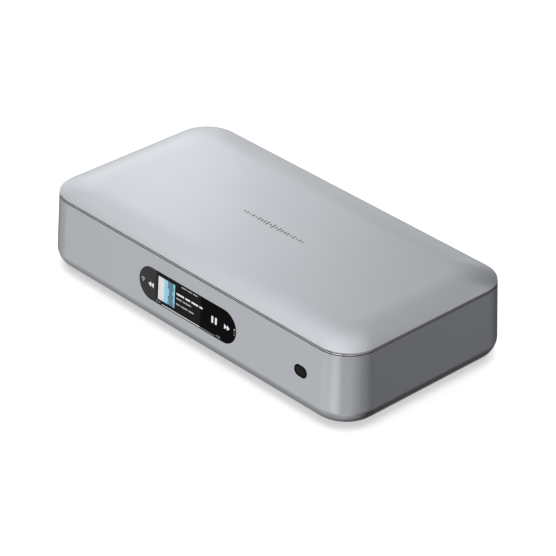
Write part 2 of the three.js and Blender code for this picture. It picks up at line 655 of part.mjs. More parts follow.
// A board with round holes over its pins and notches round the rear uprights.
function circuitBoard({ left, right }) {
  const [width, depth] = [right - left, BOARD_REAR - BOARD_FRONT];
  const outline = slab(width, depth, 2, BOARD_LOW, BOARD_TOP, 3);
  outline.translate((left + right) / 2, (BOARD_FRONT + BOARD_REAR) / 2, 0);
  const holes = boardPins({ left, right }).map(([x, y]) =>
    bar(PIN_HOLE_RADIUS, BOARD_LOW - 1, BOARD_TOP + 1, 12).translate(x, y, 0),
  );
  const notches = [-1, 1].map((side) =>
    block(
      around(side * UPRIGHT_X, UPRIGHT.width + 2 * SLOT_FIT),
      [PANEL_BACK - UPRIGHT.depth - 2 * SLOT_FIT, PANEL_BACK],
      [BOARD_LOW - 1, BOARD_TOP + 1],
    ),
  );
  return cut(outline, ...holes, ...notches);
}

// The plug of the supply lead, on the right of the split between the boards (side 1) or on its left (-1).
function leadSocket(side) {
  return block(
    around(SPLIT_X + side * LEAD.reach, PLUG.width),
    around(LEAD_Y, PLUG.depth),
    [BOARD_TOP - SUNK, PART_LOW + PLUG.height],
  );
}

function mainBoard() {
  const low = BOARD_TOP - SUNK;
  const flexSocket = block(
    around(0, FLEX_SOCKET.width),
    around(FLEX_SOCKET_Y, FLEX_SOCKET.depth),
    [low, PART_LOW + FLEX_SOCKET.height],
  );
  const buttonFace = PANEL_BACK - FIT - BUTTON.flangeThick - BUTTON.travel - FIT;
  const switchBody = block(
    around(SOCKET_X.button, BUTTON_SWITCH.width),
    [buttonFace - BUTTON_SWITCH.depth, buttonFace],
    [low, PART_LOW + BUTTON_SWITCH.height],
  );
  const memory = [0, 1].map((k) =>
    block(
      around(SOCKET_X.hdmi + 14 + MEMORY.pitch * k, MEMORY.width),
      around(CHOKE_Y - 8, MEMORY.depth),
      [low, BOARD_TOP + 1],
    ),
  );
  const board = joined(circuitBoard(MAIN_BOARD), leadSocket(1), flexSocket, switchBody, ...memory);
  return piece("main_board", board, FINISH.board);
}

function psuBoard() {
  const fuse = block(
    around(PSU_BOARD.left + 12, FUSE.width),
    around(BOARD_REAR - 34, FUSE.depth),
    [BOARD_TOP - SUNK, PART_LOW + FUSE.height],
  );
  return piece("psu_board", joined(circuitBoard(PSU_BOARD), leadSocket(-1), fuse), FINISH.board);
}

function mainBoardParts() {
  const shieldBody = slab(SHIELD.width, SHIELD.depth, 2, 0, SHIELD.height - 0.8, 3);
  const shieldLid = slab(SHIELD.width - 6, SHIELD.depth - 6, 1.5, SHIELD.height - 1.5, SHIELD.height, 3);
  const shield = joined(shieldBody, shieldLid);
  const radioBoard = slab(RADIO.width, RADIO.depth, 0.8, 0, 0.8, 2);
  const radioCan = slab(RADIO.width - 3, RADIO.depth - 8, 1, 0.4, RADIO.height, 2).translate(0, -2, 0);
  const radio = joined(radioBoard, radioCan);
  const chip = slab(CHIP.width, CHIP.width, 0.6, 0, CHIP.height, 2);
  const sinkX = SOCKET_X.posts - 6;
  return [
    piece("soc_shield", shield, FINISH.steel, [SOCKET_X.lan, SINK_Y + 6, PART_LOW]),
    piece("wifi_module", radio, FINISH.steel, [SOCKET_X.button + 12, CHOKE_Y - 10, PART_LOW]),
    piece("amplifier_chip", chip, FINISH.blackPlastic, [sinkX, SINK_Y, PART_LOW]),
    piece("amp_heatsink", heatsink(), FINISH.satinAluminium, [sinkX, SINK_Y, PART_LOW + CHIP.height + FIT]),
  ];
}

// A comb of upright fins on a flat base, extruded along Y.
function heatsink() {
  const half = SINK_WIDTH / 2;
  const shape = new THREE.Shape();
  shape.moveTo(-half, 0);
  shape.lineTo(half, 0);
  for (let k = SINK.fins - 1; k >= 0; k--) {
    const centre = -half + (k + 0.5) * SINK.pitch;
    const right = k === SINK.fins - 1 ? half : centre + SINK.fin / 2;
    const left = k === 0 ? -half : centre - SINK.fin / 2;
    if (k < SINK.fins - 1) shape.lineTo(right, SINK.base);
    shape.lineTo(right, SINK.height);
    shape.lineTo(left, SINK.height);
    if (k > 0) shape.lineTo(left, SINK.base);
  }
  const comb = new THREE.ExtrudeGeometry(shape, { depth: SINK.depth, bevelEnabled: false });
  return comb.rotateX(Math.PI / 2).translate(0, SINK.depth / 2, 0);
}

function outputChokes() {
  const body = slab(CHOKE.width, CHOKE.width, 3, 0, CHOKE.height - 1, 3);
  const top = slab(CHOKE.width - 2, CHOKE.width - 2, 2.5, CHOKE.height - 1.5, CHOKE.height, 3);
  return [-1, 1].map((side, k) => {
    const place = [SOCKET_X.posts + side * (CHOKE.width / 2 + 3), CHOKE_Y, PART_LOW];
    return piece("output_choke_" + (k + 1), joined(body, top), FINISH.ferrite, place);
  });
}

// An upright can with a rolled groove near its foot.
function canCapacitor(radius, height) {
  return turned([
    [0, 0], [radius, 0], [radius, 2], [radius - 0.7, 2.6], [radius, 3.2],
    [radius, height - 0.8], [radius - 0.8, height], [0, height],
  ], 18);
}

function railCans() {
  const x = SOCKET_X.posts - 6 - SINK_WIDTH / 2 - 4 - RAIL_CAN.radius;
  return [0, 1].map((k) => {
    const y = SINK_Y - 6 - k * (2 * RAIL_CAN.radius + 3);
    const can = canCapacitor(RAIL_CAN.radius, RAIL_CAN.height);
    return piece("rail_capacitor_" + (k + 1), can, FINISH.canSleeve, [x, y, PART_LOW]);
  });
}

function psuParts() {
  const middle = (PSU_BOARD.left + PSU_BOARD.right) / 2;
  const rowY = BOARD_REAR - INLET.depth - 36;
  const side = MAINS_CAN.radius + 1.5;
  const { radius, hole, height } = MAINS_CHOKE;
  const ring = turned([
    [hole, 1], [hole + 1, 0], [radius - 1, 0], [radius, 1],
    [radius, height - 1], [radius - 1, height], [hole + 1, height], [hole, height - 1], [hole, 1],
  ], 16);
  const { width, depth, core } = TRANSFORMER;
  const limbs = slab(width, core, 1, 0, TRANSFORMER.height, 2);
  const winding = slab(width - 10, depth, 6, 3, TRANSFORMER.height - 4);
  const transformerY = rowY - MAINS_CAN.radius - 4 - depth / 2;
  const can = canCapacitor(MAINS_CAN.radius, MAINS_CAN.height);
  return [
    piece("mains_choke", ring, FINISH.ferrite, [middle + side, rowY, PART_LOW]),
    piece("mains_capacitor", can, FINISH.canSleeve, [middle - side, rowY, PART_LOW]),
    piece("psu_transformer", joined(limbs, winding), FINISH.amber, [middle, transformerY, PART_LOW]),
  ];
}

// A sheet under the mains board, folded up between the two boards.
function insulationSheet() {
  const low = PLATE_TOP + FIT;
  const right = SPLIT_X + SHEET_THICK / 2;
  const length = around(0, 2 * INSIDE_LEDGE_Y);
  const flat = block([PSU_BOARD.left, right], length, [low, low + SHEET_THICK]);
  const fold = block([right - SHEET_THICK, right], length, [low, low + SHEET_FOLD]);
  const holes = boardPins(PSU_BOARD).map(([x, y]) =>
    bar(PIN_SEAT_RADIUS + FIT, low - 1, low + 2, 12).translate(x, y, 0),
  );
  const upright = block(
    around(-UPRIGHT_X, UPRIGHT.width + 2 * FIT),
    [PANEL_BACK - UPRIGHT.depth - 2 * FIT, PANEL_BACK],
    [low - 1, low + 2],
  );
  return piece("insulation_sheet", cut(joined(flat, fold), ...holes, upright), FINISH.whiteSheet);
}

// The leads from the mains board to the main board, up and over the folded sheet.
function supplyLead() {
  const low = PART_LOW + PLUG.height + FIT;
  const reach = LEAD.reach;
  const points = [
    [-reach, 0], [-reach, 4], [-reach + 4, 10], [0, LEAD.rise], [reach - 4, 10], [reach, 4], [reach, 0],
  ];
  const path = new THREE.CatmullRomCurve3(
    points.map(([x, z]) => new THREE.Vector3(SPLIT_X + x, LEAD_Y, low + z)),
  );
  const section = new THREE.Shape(
    Array.from({ length: 8 }, (_, k) => {
      const angle = (k / 8) * 2 * Math.PI;
      return new THREE.Vector2(LEAD.radius * Math.cos(angle), LEAD.radius * Math.sin(angle));
    }),
  );
  const tube = new THREE.ExtrudeGeometry(section, { steps: 18, extrudePath: path, bevelEnabled: false });
  return piece("supply_lead", tube, FINISH.redPlastic);
}

function antennas() {
  const places = [(SOCKET_X.button + SOCKET_X.usb) / 2, (SOCKET_X.hdmi + SOCKET_X.optical) / 2];
  const y = PANEL_BACK - FIT - ANTENNA.thick / 2;
  return places.map((x, k) => {
    const strip = new THREE.BoxGeometry(ANTENNA.width, ANTENNA.thick, ANTENNA.height);
    return piece("antenna_" + (k + 1), strip, FINISH.board, [x, y, BAY_TOP - BAY_WALL - 7]);
  });
}

// ---------------------------------------------------------------- rear bay and sockets

// The tube that a socket fills in the bay wall, grown by the clearance.
function socketHole({ width, height }, x) {
  const grow = 2 * SLOT_FIT;
  return block(
    around(x, width + grow),
    [PANEL_BACK - 1, PANEL_FACE + 1],
    around(PART_LOW + height / 2, height + grow),
  );
}

function postPlaces() {
  const [dx, dz] = [POST.pitch / 2, POST.rise / 2];
  return [[-dx, dz], [dx, dz], [-dx, -dz], [dx, -dz]].map(([x, z]) => [SOCKET_X.posts + x, BAY_MIDDLE + z]);
}

function rearPanel() {
  const height = BAY_TOP - BAY_BOTTOM;
  const outer = block(around(0, 2 * BAY_HALF), [PANEL_BACK, BAY_EDGE_Y], around(BAY_MIDDLE, height));
  const hollow = block(
    around(0, 2 * BAY_INNER_HALF),
    [PANEL_FACE, RIM_DEPTH],
    around(BAY_MIDDLE, height - 2 * BAY_WALL),
  );
  const flangeY = RIM_DEPTH / 2 - WALL - FIT;
  const flange = block(
    around(0, 2 * (BAY_HALF + BAY_FLANGE)),
    [flangeY - BAY_FLANGE_THICK, flangeY],
    around(BAY_MIDDLE, height + 2 * BAY_FLANGE),
  );
  const sockets = [[INLET, "inlet"], [USB, "usb"], [LAN, "lan"], [HDMI, "hdmi"], [OPTICAL, "optical"]];
  const holes = sockets.map(([size, name]) => socketHole(size, SOCKET_X[name]));
  const round = (radius, x, z, sides) =>
    bar(radius, PANEL_BACK - 1, PANEL_FACE + 1, sides).rotateX(-Math.PI / 2).translate(x, 0, z);
  holes.push(round(BUTTON.radius + FIT, SOCKET_X.button, PART_LOW + BUTTON.rise, 16));
  for (const z of rcaHeights()) holes.push(round(RCA.radius + FIT, SOCKET_X.rca, z, 20));
  for (const [x, z] of postPlaces()) holes.push(round(POST.hole, x, z, 16));
  for (const side of [-1, 1]) holes.push(round(SCREW_RADIUS + FIT, side * UPRIGHT_X, BAY_MIDDLE, 12));
  return piece("rear_panel", cut(joined(outer, flange), hollow, ...holes), FINISH.blackPlastic);
}

function rearScrews() {
  return [-1, 1].map((side, k) => {
    const made = screw(9 + BAY_WALL).rotateX(Math.PI / 2);
    const place = [side * UPRIGHT_X, PANEL_FACE + FIT + SCREW_HEAD_HEIGHT, BAY_MIDDLE];
    return piece("rear_screw_" + (k + 1), made, FINISH.blackPlastic, place);
  });
}

// A socket's body: a block behind the bay wall whose face stands just proud of it. Its frame is at the
// middle of the face's lower edge, with the mouth looking along +Y.
function socketBody({ width, height, depth }) {
  return block(around(0, width), [-depth, 0], [0, height]);
}

function socketPlace(name) {
  return [SOCKET_X[name], PANEL_FACE + FIT, PART_LOW];
}

function mainsInlet() {
  const middle = INLET.height / 2;
  const [width, height] = INLET.mouth;
  const cavity = slab(width, height, height / 2 - 0.01, -1, INLET.mouthDepth - 1, 6);
  cavity.rotateX(Math.PI / 2).translate(0, 0, middle);
  const body = cut(socketBody(INLET), cavity);
  const pins = around(0, INLET_PIN.pitch).map((x) => {
    const pin = bar(INLET_PIN.radius, -INLET.mouthDepth, -1.5, 10).rotateX(-Math.PI / 2);
    return pin.translate(x, 0, middle);
  });
  return piece("mains_inlet", joined(body, ...pins), FINISH.blackPlastic, socketPlace("inlet"));
}

function usbSocket() {
  const middle = USB.height / 2;
  const mouth = block(around(0, USB.mouth[0]), [-USB.mouthDepth, 1], around(middle, USB.mouth[1]));
  const [wide, thick] = USB.tongue;
  const tongue = block(around(0, wide), [-USB.mouthDepth - 1, -1], around(middle + 0.9, thick));
  return piece("usb_socket", joined(cut(socketBody(USB), mouth), tongue), FINISH.steel, socketPlace("usb"));
}

function lanSocket() {
  const top = LAN.low + LAN.mouth[1];
  const mouth = block(around(0, LAN.mouth[0]), [-LAN.mouthDepth, 1], [LAN.low, top]);
  const notch = block(
    around(0, LAN_NOTCH.width), [-LAN.mouthDepth, 1], [top - 0.6, top + LAN_NOTCH.height],
  );
  return piece("lan_socket", cut(socketBody(LAN), mouth, notch), FINISH.steel, socketPlace("lan"));
}

function hdmiSocket() {
  const middle = HDMI.height / 2;
  const mouth = block(around(0, HDMI.mouth[0]), [-HDMI.mouthDepth, 1], around(middle, HDMI.mouth[1]));
  const [wide, thick] = HDMI.tongue;
  const tongue = block(around(0, wide), [-HDMI.mouthDepth - 0.5, -1.2], around(middle, thick));
  const socket = joined(cut(socketBody(HDMI), mouth), tongue);
  return piece("hdmi_socket", socket, FINISH.steel, socketPlace("hdmi"));
}

function opticalSocket() {
  const top = OPTICAL.height - FLAP.rim;
  const mouth = block(
    around(0, FLAP.width + 2 * FIT), [-OPTICAL.mouthDepth, 1], [top - FLAP.height - FIT, top + FIT],
  );
  const socket = cut(socketBody(OPTICAL), mouth);
  return piece("optical_socket", socket, FINISH.blackPlastic, socketPlace("optical"));
}

// The shutter hangs from a pin along its top edge, just inside the mouth, and swings inwards.
function opticalShutter() {
  const [x, y, z] = socketPlace("optical");
  const top = OPTICAL.height - FLAP.rim;
  const flap = block(around(0, FLAP.width), around(0, FLAP.thick), [0.4 - FLAP.height, 0]);
  const knuckle = bar(FLAP.pin, -FLAP.width / 2, FLAP.width / 2, 10).rotateY(Math.PI / 2);
  const place = [x, y - FLAP.back, z + top - FLAP.pin];
  return piece("optical_shutter", joined(flap, knuckle), FINISH.blackPlastic, place);
}

function rcaHeights() {
  const middle = PART_LOW + RCA.height / 2;
  return [middle - RCA.pitch / 2, middle + RCA.pitch / 2];
}

function rcaBlock() {
  const back = PANEL_BACK - FIT;
  const body = block(around(0, RCA.width), [back - RCA.depth, back], [PART_LOW, PART_LOW + RCA.height]);
  const sleeves = rcaHeights().map((z) =>
    bar(RCA.radius, back - 1, PANEL_FACE + RCA.proud, 20).rotateX(-Math.PI / 2).translate(0, 0, z),
  );
  const bores = rcaHeights().map((z) =>
    bar(RCA.bore, PANEL_FACE - 1, PANEL_FACE + RCA.proud + 1, 10).rotateX(-Math.PI / 2).translate(0, 0, z),
  );
  const sockets = cut(joined(body, ...sleeves), ...bores);
  return piece("rca_block", sockets, FINISH.blackPlastic, [SOCKET_X.rca, 0, 0]);
}

function pairButton() {
  const [seat, top] = [-FIT - BAY_WALL, BUTTON.proud];
  const back = seat - BUTTON.flangeThick;
  const profile = [
    [0, back], [BUTTON.flange, back], [BUTTON.flange, seat], [BUTTON.radius, seat],
    [BUTTON.radius, top - 0.4], [BUTTON.radius - 0.4, top], [0, top],
  ];
  const button = turned(profile, 16).rotateX(-Math.PI / 2);
  const place = [SOCKET_X.button, PANEL_FACE, PART_LOW + BUTTON.rise];
  return piece("pair_button", button, FINISH.blackPlastic, place);
}

// One speaker terminal: a threaded stem clamped in the bay wall, and a cap with a brass core that screws on.
function speakerPost([x, z], k) {
  const terminal = new THREE.Group();
  terminal.position.set(x, PANEL_FACE, z);
  terminal.rotation.x = -Math.PI / 2;
  const { stud, length } = POST;
  const { tail, tailLow, nut, nutLow, collar } = STEM;
  const nutTop = -BAY_WALL - FIT;
  const stemProfile = [
    [0, tailLow], [tail, tailLow], [tail, nutLow], [nut, nutLow], [nut, nutTop], [collar, nutTop],
    [collar, FIT], [WASHER.radius, FIT], [WASHER.radius, WASHER.top], [stud, WASHER.top],
    [stud, length - 0.4], [stud - 0.6, length], [0, length],
  ];
  const wireHole = bar(WIRE_HOLE.radius, -5, 5, 6).rotateY(Math.PI / 2).translate(0, 0, WIRE_HOLE.up);
  const stem = cut(turned(stemProfile, 12), wireHole);
  const bore = stud + FIT;
  const core = turned(
    [
      [bore, CORE.low], [CORE.radius, CORE.low], [CORE.radius, CORE.high], [bore, CORE.high],
      [bore, CORE.low],
    ],
    14,
  );
  const steps = 2 * KNURL.lobes;
  const lobes = Array.from({ length: steps }, (_, n) => {
    const radius = POST.radius - (n % 2) * KNURL.depth;
    const angle = (n / steps) * 2 * Math.PI;
    return new THREE.Vector2(radius * Math.cos(angle), radius * Math.sin(angle));
  });
  const grip = new THREE.ExtrudeGeometry(new THREE.Shape(lobes), { depth: length, bevelEnabled: false });
  const cap = cut(
    grip.translate(0, 0, CAP.low),
    bar(CORE.radius + FIT, 0, CAP.coreBore, 16),
    bar(stud + 0.5, 0, length + CAP.low - CAP.endWall, 16),
  );
  const colour = k % 2 ? FINISH.redPlastic : FINISH.blackPlastic;
  terminal.add(
    piece("post_stem_" + (k + 1), stem, FINISH.brass),
    piece("post_core_" + (k + 1), core, FINISH.brass),
    piece("post_cap_" + (k + 1), cap, colour),
  );
  return terminal;
}

// ---------------------------------------------------------------- assembly

const amplifier = new THREE.Group();
amplifier.name = "network_amplifier";
frontWall.add(...displayPieces(), ...receiverPieces());
amplifier.add(
  bodyShell(),
  trimRing(),
  topCover(),
  basePlate(),
  ...feet(),
  ...baseScrews(),
  frontWall,
  displayFlex(),
  mainBoard(),
  ...mainBoardParts(),
  ...outputChokes(),
  ...railCans(),
  psuBoard(),
  ...psuParts(),
  insulationSheet(),
  supplyLead(),
  ...antennas(),
  rearPanel(),
  ...rearScrews(),
  mainsInlet(),
  usbSocket(),
  lanSocket(),
  hdmiSocket(),
  opticalSocket(),
  opticalShutter(),
  rcaBlock(),
  pairButton(),
  ...postPlaces().map(speakerPost),
);

export default amplifier;
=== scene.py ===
# A compact network amplifier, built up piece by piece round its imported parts.
# Each section is one piece, or one group of like pieces: what it is, its sizes, its mesh and its finish.

import math

import bmesh
import bpy
from mathutils import Matrix, Vector


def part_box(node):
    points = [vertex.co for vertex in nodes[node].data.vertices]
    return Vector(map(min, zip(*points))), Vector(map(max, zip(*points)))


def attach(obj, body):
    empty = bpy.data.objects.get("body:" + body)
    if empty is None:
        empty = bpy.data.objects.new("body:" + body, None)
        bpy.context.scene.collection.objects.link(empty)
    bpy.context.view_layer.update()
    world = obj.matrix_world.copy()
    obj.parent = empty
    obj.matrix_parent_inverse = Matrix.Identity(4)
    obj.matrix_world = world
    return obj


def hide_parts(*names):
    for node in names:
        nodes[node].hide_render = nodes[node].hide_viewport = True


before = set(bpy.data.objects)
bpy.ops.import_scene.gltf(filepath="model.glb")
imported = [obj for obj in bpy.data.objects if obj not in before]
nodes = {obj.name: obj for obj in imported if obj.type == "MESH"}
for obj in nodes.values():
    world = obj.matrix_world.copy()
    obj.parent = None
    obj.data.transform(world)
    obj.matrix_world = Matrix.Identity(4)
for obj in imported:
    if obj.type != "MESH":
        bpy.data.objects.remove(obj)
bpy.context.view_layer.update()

# ---------------- Camera
# A long lens two metres off, looking down on the front right corner of the case.

bearing = math.radians(46.06)
height_angle = math.radians(31.07)
roll = math.radians(1.19)
distance = 2.045
to_camera = Vector((
    math.sin(bearing) * math.cos(height_angle),
    -math.cos(bearing) * math.cos(height_angle),
    math.sin(height_angle),
))
to_right = Vector((math.cos(bearing), math.sin(bearing), 0))
to_top = to_camera.cross(to_right)
aim = to_right * 0.00395 + Vector((0, 0, 0.0226))

lens = bpy.data.cameras.new("catalogue_lens")
lens.lens = 183.3
lens.sensor_width = 36
lens.clip_start = 0.05
lens.clip_end = 50
camera = bpy.data.objects.new("catalogue_camera", lens)
turned_right = to_right * math.cos(roll) + to_top * math.sin(roll)
turned_top = to_top * math.cos(roll) - to_right * math.sin(roll)
stand = Matrix((turned_right, turned_top, to_camera)).transposed().to_4x4()
camera.matrix_world = Matrix.Translation(aim + to_camera * distance) @ stand
bpy.context.scene.collection.objects.link(camera)
bpy.context.scene.camera = camera
bpy.context.scene.view_settings.view_transform = "Standard"

# ---------------- Studio
# A pale floor and a white surround. Soft panels stand far off round the case, brightest behind its left end
# and low in front of it, with a few small lamps close by that shade its broad flats from end to end.


def tint(red, green, blue):
    """A colour given in 0 to 255, as light."""
    shares = (c / 255 for c in (red, green, blue))
    return tuple(((c + 0.055) / 1.055) ** 2.4 if c > 0.04 else c / 12.92 for c in shares) + (1,)


def feed(tree, socket, value):
    """Sets a socket, or links it to another node's output."""
    if isinstance(value, bpy.types.NodeSocket):
        tree.links.new(value, socket)
    else:
        socket.default_value = value


def add(tree, kind, values={}, **settings):
    """A new shader node. Its values go by the name or number of their sockets."""
    added = tree.nodes.new("ShaderNode" + kind)
    for name, setting in settings.items():
        setattr(added, name, setting)
    for socket, value in values.items():
        feed(tree, added.inputs[socket], value)
    return added


def maths(tree, operation, *values):
    """A Math node. Each value is a number or another node's output."""
    return add(tree, "Math", dict(enumerate(values)), operation=operation).outputs[0]


def toward(azimuth, elevation):
    """The direction to a panel: 0 is in front of the case, 90 to its right, 180 behind it."""
    a, e = math.radians(azimuth), math.radians(elevation)
    return Vector((math.sin(a) * math.cos(e), -math.cos(a) * math.cos(e), math.sin(e)))


panels = [  # azimuth, elevation, strength; each fades out over 30 degrees
    # high behind the left end, for the flat of the cover
    (257, 65, 1.2), (206, 65, 0.6), (240, 42, 0.3), (180, 42, 0.25),
    # at the height of the case behind the left end, for the curved border
    (257, 20, 0.55), (231, 20, 0.5), (231, 0, 0.7), (206, 0, 0.2),
    # low in front, from the left end round to the right, for the front wall and the front corner
    (265, -28, 0.3), (300, -20, 0.4), (330, -20, 0.65), (0, -20, 0.5), (60, -20, 0.45), (90, -20, 0.4),
    # low on the right, weak, for the right wall
    (120, -20, 0.15), (150, -20, 0.25),
    # from below, for the rolled lower edge
    (280, -40, 0.25), (320, -40, 0.3), (0, -40, 0.35), (40, -40, 0.65),
    (330, -70, 0.4), (70, -68, 0.4), (240, -52, 0.2), (195, -42, 0.15),
    # high on the right, for the sides that face away from the camera
    (20, 35, 0.5), (65, 35, 0.6), (110, 35, 0.5),
]
world = bpy.data.worlds.new("studio")
bpy.context.scene.world = world
world.use_nodes = True
sky = world.node_tree
sky.nodes.clear()
looking = add(sky, "TexCoord").outputs["Generated"]
fade = math.cos(math.radians(30))
glow = 0.0
for azimuth, elevation, strength in panels:
    facing = add(sky, "VectorMath", {0: looking, 1: toward(azimuth, elevation)}, operation="DOT_PRODUCT")
    values = {"Value": facing.outputs["Value"], "From Min": fade, "To Max": strength}
    soft = add(sky, "MapRange", values, interpolation_type="SMOOTHSTEP")
    glow = maths(sky, "ADD", soft.outputs["Result"], glow)
camera_ray = add(sky, "LightPath").outputs["Is Camera Ray"]
shone = add(sky, "Background", {"Strength": glow}).outputs[0]
seen = add(sky, "Background", {"Color": (1, 1, 1, 1)}).outputs[0]
choice = add(sky, "MixShader", {0: camera_ray, 1: shone, 2: seen}).outputs[0]
add(sky, "OutputWorld", {"Surface": choice})

lamps = [  # the direction from a spot on the case, that spot, how far off, how wide, watts
    ((-0.616, 0.595, 0.516), (-0.2, 0, 0.065), 0.4, 0.22, 0.052),
    ((-0.616, 0.595, 0.516), (-0.04, 0, 0.065), 0.4, 0.22, 0.025),
    ((0.21, -0.84, -0.516), (0.15, -0.08, 0.04), 0.3, 0.15, 0.034),
    ((-0.3, -0.3, 0.9), (-0.1, 0, 0.06), 0.5, 0.3, 0.058),
    ((0.3, 0.7, 0.65), (0.1, 0.05, 0.06), 0.5, 0.3, 0.076),
    ((0, 0, 1), (0, 0, 0), 2, 3, 44),
]
for number, (direction, spot, reach, width, watts) in enumerate(lamps):
    lamp = bpy.data.lights.new(f"soft_lamp_{number}", "AREA")
    lamp.shape = "DISK"
    lamp.size = width
    lamp.energy = watts
    holder = bpy.data.objects.new(f"soft_lamp_{number}", lamp)
    bpy.context.scene.collection.objects.link(holder)
    away = Vector(direction).normalized()
    turned = away.to_track_quat("Z", "Y").to_matrix().to_4x4()
    holder.matrix_world = Matrix.Translation(Vector(spot) + away * reach) @ turned
    holder.visible_camera = False
holder.visible_glossy = False  # the wide one overhead lights the floor and the plastics only

floor_mesh = bpy.data.meshes.new("floor")
bm = bmesh.new()
bmesh.ops.create_circle(bm, cap_ends=True, segments=96, radius=12)
bm.to_mesh(floor_mesh)
bm.free()
floor = bpy.data.objects.new("floor", floor_mesh)
bpy.context.scene.collection.objects.link(floor)
floor.visible_glossy = False
floor.visible_diffuse = False
paint = bpy.data.materials.new("pale_floor")
paint.use_nodes = True
paper = paint.node_tree.nodes["Principled BSDF"]
paper.inputs["Base Color"].default_value = (0.9, 0.9, 0.9, 1)
paper.inputs["Roughness"].default_value = 0.9
paper.inputs["Emission Color"].default_value = (1, 1, 1, 1)
paper.inputs["Emission Strength"].default_value = 0.44
floor_mesh.materials.append(paint)

# ---------------- Feet
# Four soft rubber discs, moulded with a rounded rim and a ring groove in the tread.
# Each is glued into a recess of the base plate.

mm = 0.001


def spun(bm, profile, steps=32, closed=False):
    """Turns a half profile of (radius, height) points once round the Z axis."""
    verts = [bm.verts.new((radius, 0, height)) for radius, height in profile]
    edges = [bm.edges.new(pair) for pair in zip(verts, verts[1:] + verts[:1] * closed)]
    bmesh.ops.spin(
        bm, geom=verts + edges, cent=(0, 0, 0), axis=(0, 0, 1), dvec=(0, 0, 0),
        angle=2 * math.pi, steps=steps, use_merge=True, use_duplicate=False,
    )


def made(name, bm, place=Matrix(), crease=32, edge=0, edge_steps=2):
    """Closes the mesh, given in millimetres, puts it where it belongs and rounds its edges."""
    bmesh.ops.remove_doubles(bm, verts=bm.verts, dist=1e-4)
    bmesh.ops.recalc_face_normals(bm, faces=bm.faces)
    bmesh.ops.transform(bm, matrix=Matrix.Scale(mm, 4) @ place, verts=bm.verts)
    mesh = bpy.data.meshes.new(name)
    bm.to_mesh(mesh)
    bm.free()
    piece = bpy.data.objects.new(name, mesh)
    bpy.context.scene.collection.objects.link(piece)
    mesh.shade_smooth()
    if edge:
        rounded(piece, edge, edge_steps)
    else:
        mesh.set_sharp_from_angle(angle=math.radians(crease))
    return piece


def rounded(piece, edge, steps=2):
    """Rounds every sharp edge, and keeps the flats looking flat."""
    bevel = piece.modifiers.new("edge", "BEVEL")
    bevel.limit_method = "ANGLE"
    bevel.angle_limit = math.radians(38)
    bevel.width = edge * mm
    bevel.segments = steps
    weigh = piece.modifiers.new("flats", "WEIGHTED_NORMAL")
    weigh.keep_sharp = True


def mask_group(name, outputs):
    """A node group that works from the place on the piece: its tree, what it is given and its end."""
    group = bpy.data.node_groups.new(name, "ShaderNodeTree")
    group.interface.new_socket("Place", in_out="INPUT", socket_type="NodeSocketVector")
    for output in outputs:
        group.interface.new_socket(output, in_out="OUTPUT", socket_type="NodeSocketFloat")
    return group, group.nodes.new("NodeGroupInput"), group.nodes.new("NodeGroupOutput")


def grain_group():
    """Fine grain and broad drift, worked out in the piece's own space."""
    group, given, out = mask_group("grain_and_drift", ("Drift", "Gloss", "Height"))
    group.interface.new_socket("Grain per metre", in_out="INPUT", socket_type="NodeSocketFloat")

    def noise(scale, detail):
        values = {"Vector": given.outputs["Place"], "Scale": scale, "Detail": detail}
        return add(group, "TexNoise", values).outputs["Fac"]

    fine = noise(given.outputs["Grain per metre"], 2)
    half_fine = maths(group, "MULTIPLY", fine, 0.5)
    feed(group, out.inputs["Drift"], noise(22, 3))
    feed(group, out.inputs["Gloss"], maths(group, "MULTIPLY_ADD", noise(260, 3), 0.5, half_fine))
    feed(group, out.inputs["Height"], fine)
    return group


def blended(tree, share, one, other):
    """A colour between two: share 0 gives the first."""
    return add(tree, "Mix", {0: share, 6: one, 7: other}, data_type="RGBA").outputs[2]


grain_and_drift = grain_group()


def surface(name, light, dark, rough, metallic=0.0, grain=3000, relief=0.02, **sockets):
    """A material whose colour drifts between two tones, with grain in its relief and gloss.

    relief is the depth of the grain in millimetres, rough the lowest and highest roughness."""
    material = bpy.data.materials.new(name)
    material.use_nodes = True
    tree = material.node_tree
    shader = tree.nodes["Principled BSDF"]
    shader.inputs["Metallic"].default_value = metallic
    for socket, value in sockets.items():
        shader.inputs[socket.replace("_", " ")].default_value = value
    where = add(tree, "TexCoord").outputs["Object"]
    values = {"Place": where, "Grain per metre": grain}
    pattern = add(tree, "Group", values, node_tree=grain_and_drift).outputs
    gloss = add(tree, "MapRange", {"Value": pattern["Gloss"], "To Min": rough[0], "To Max": rough[1]})
    bump = add(tree, "Bump", {"Distance": relief * mm, "Height": pattern["Height"]})
    tree.links.new(blended(tree, pattern["Drift"], dark, light), shader.inputs["Base Color"])
    tree.links.new(gloss.outputs["Result"], shader.inputs["Roughness"])
    tree.links.new(bump.outputs["Normal"], shader.inputs["Normal"])
    return material


def belongs(piece, material, node=None, body="root"):
    """Gives a piece its finish and the body that it moves with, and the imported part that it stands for."""
    piece.data.materials.append(material)
    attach(piece, body)
    if node:
        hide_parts(node)


foot_rubber = surface(
    "foot_rubber", tint(42, 42, 43), tint(30, 30, 31), (0.75, 0.95), grain=1800, relief=0.05,
)
foot_radius = 9
for k in range(1, 5):
    low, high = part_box(f"foot_{k}")
    top = (high.z - low.z) / mm
    tread = [(0, 0.35), (4.4, 0.35), (4.8, 0), (5.6, 0), (5.9, 0.35), (6.5, 0.35), (6.8, 0)]
    angles = [math.radians(15 * step) for step in range(7)]
    rim = [(foot_radius - 1 + math.sin(a), 1 - math.cos(a)) for a in angles]
    bm = bmesh.new()
    spun(bm, tread + rim + [(foot_radius, top - 0.2), (foot_radius - 0.2, top), (0, top)], 48)
    middle = (low + high) / 2 / mm
    foot = made(f"rubber_foot_{k}", bm, Matrix.Translation((middle.x, middle.y, 0)))
    belongs(foot, foot_rubber, f"foot_{k}")

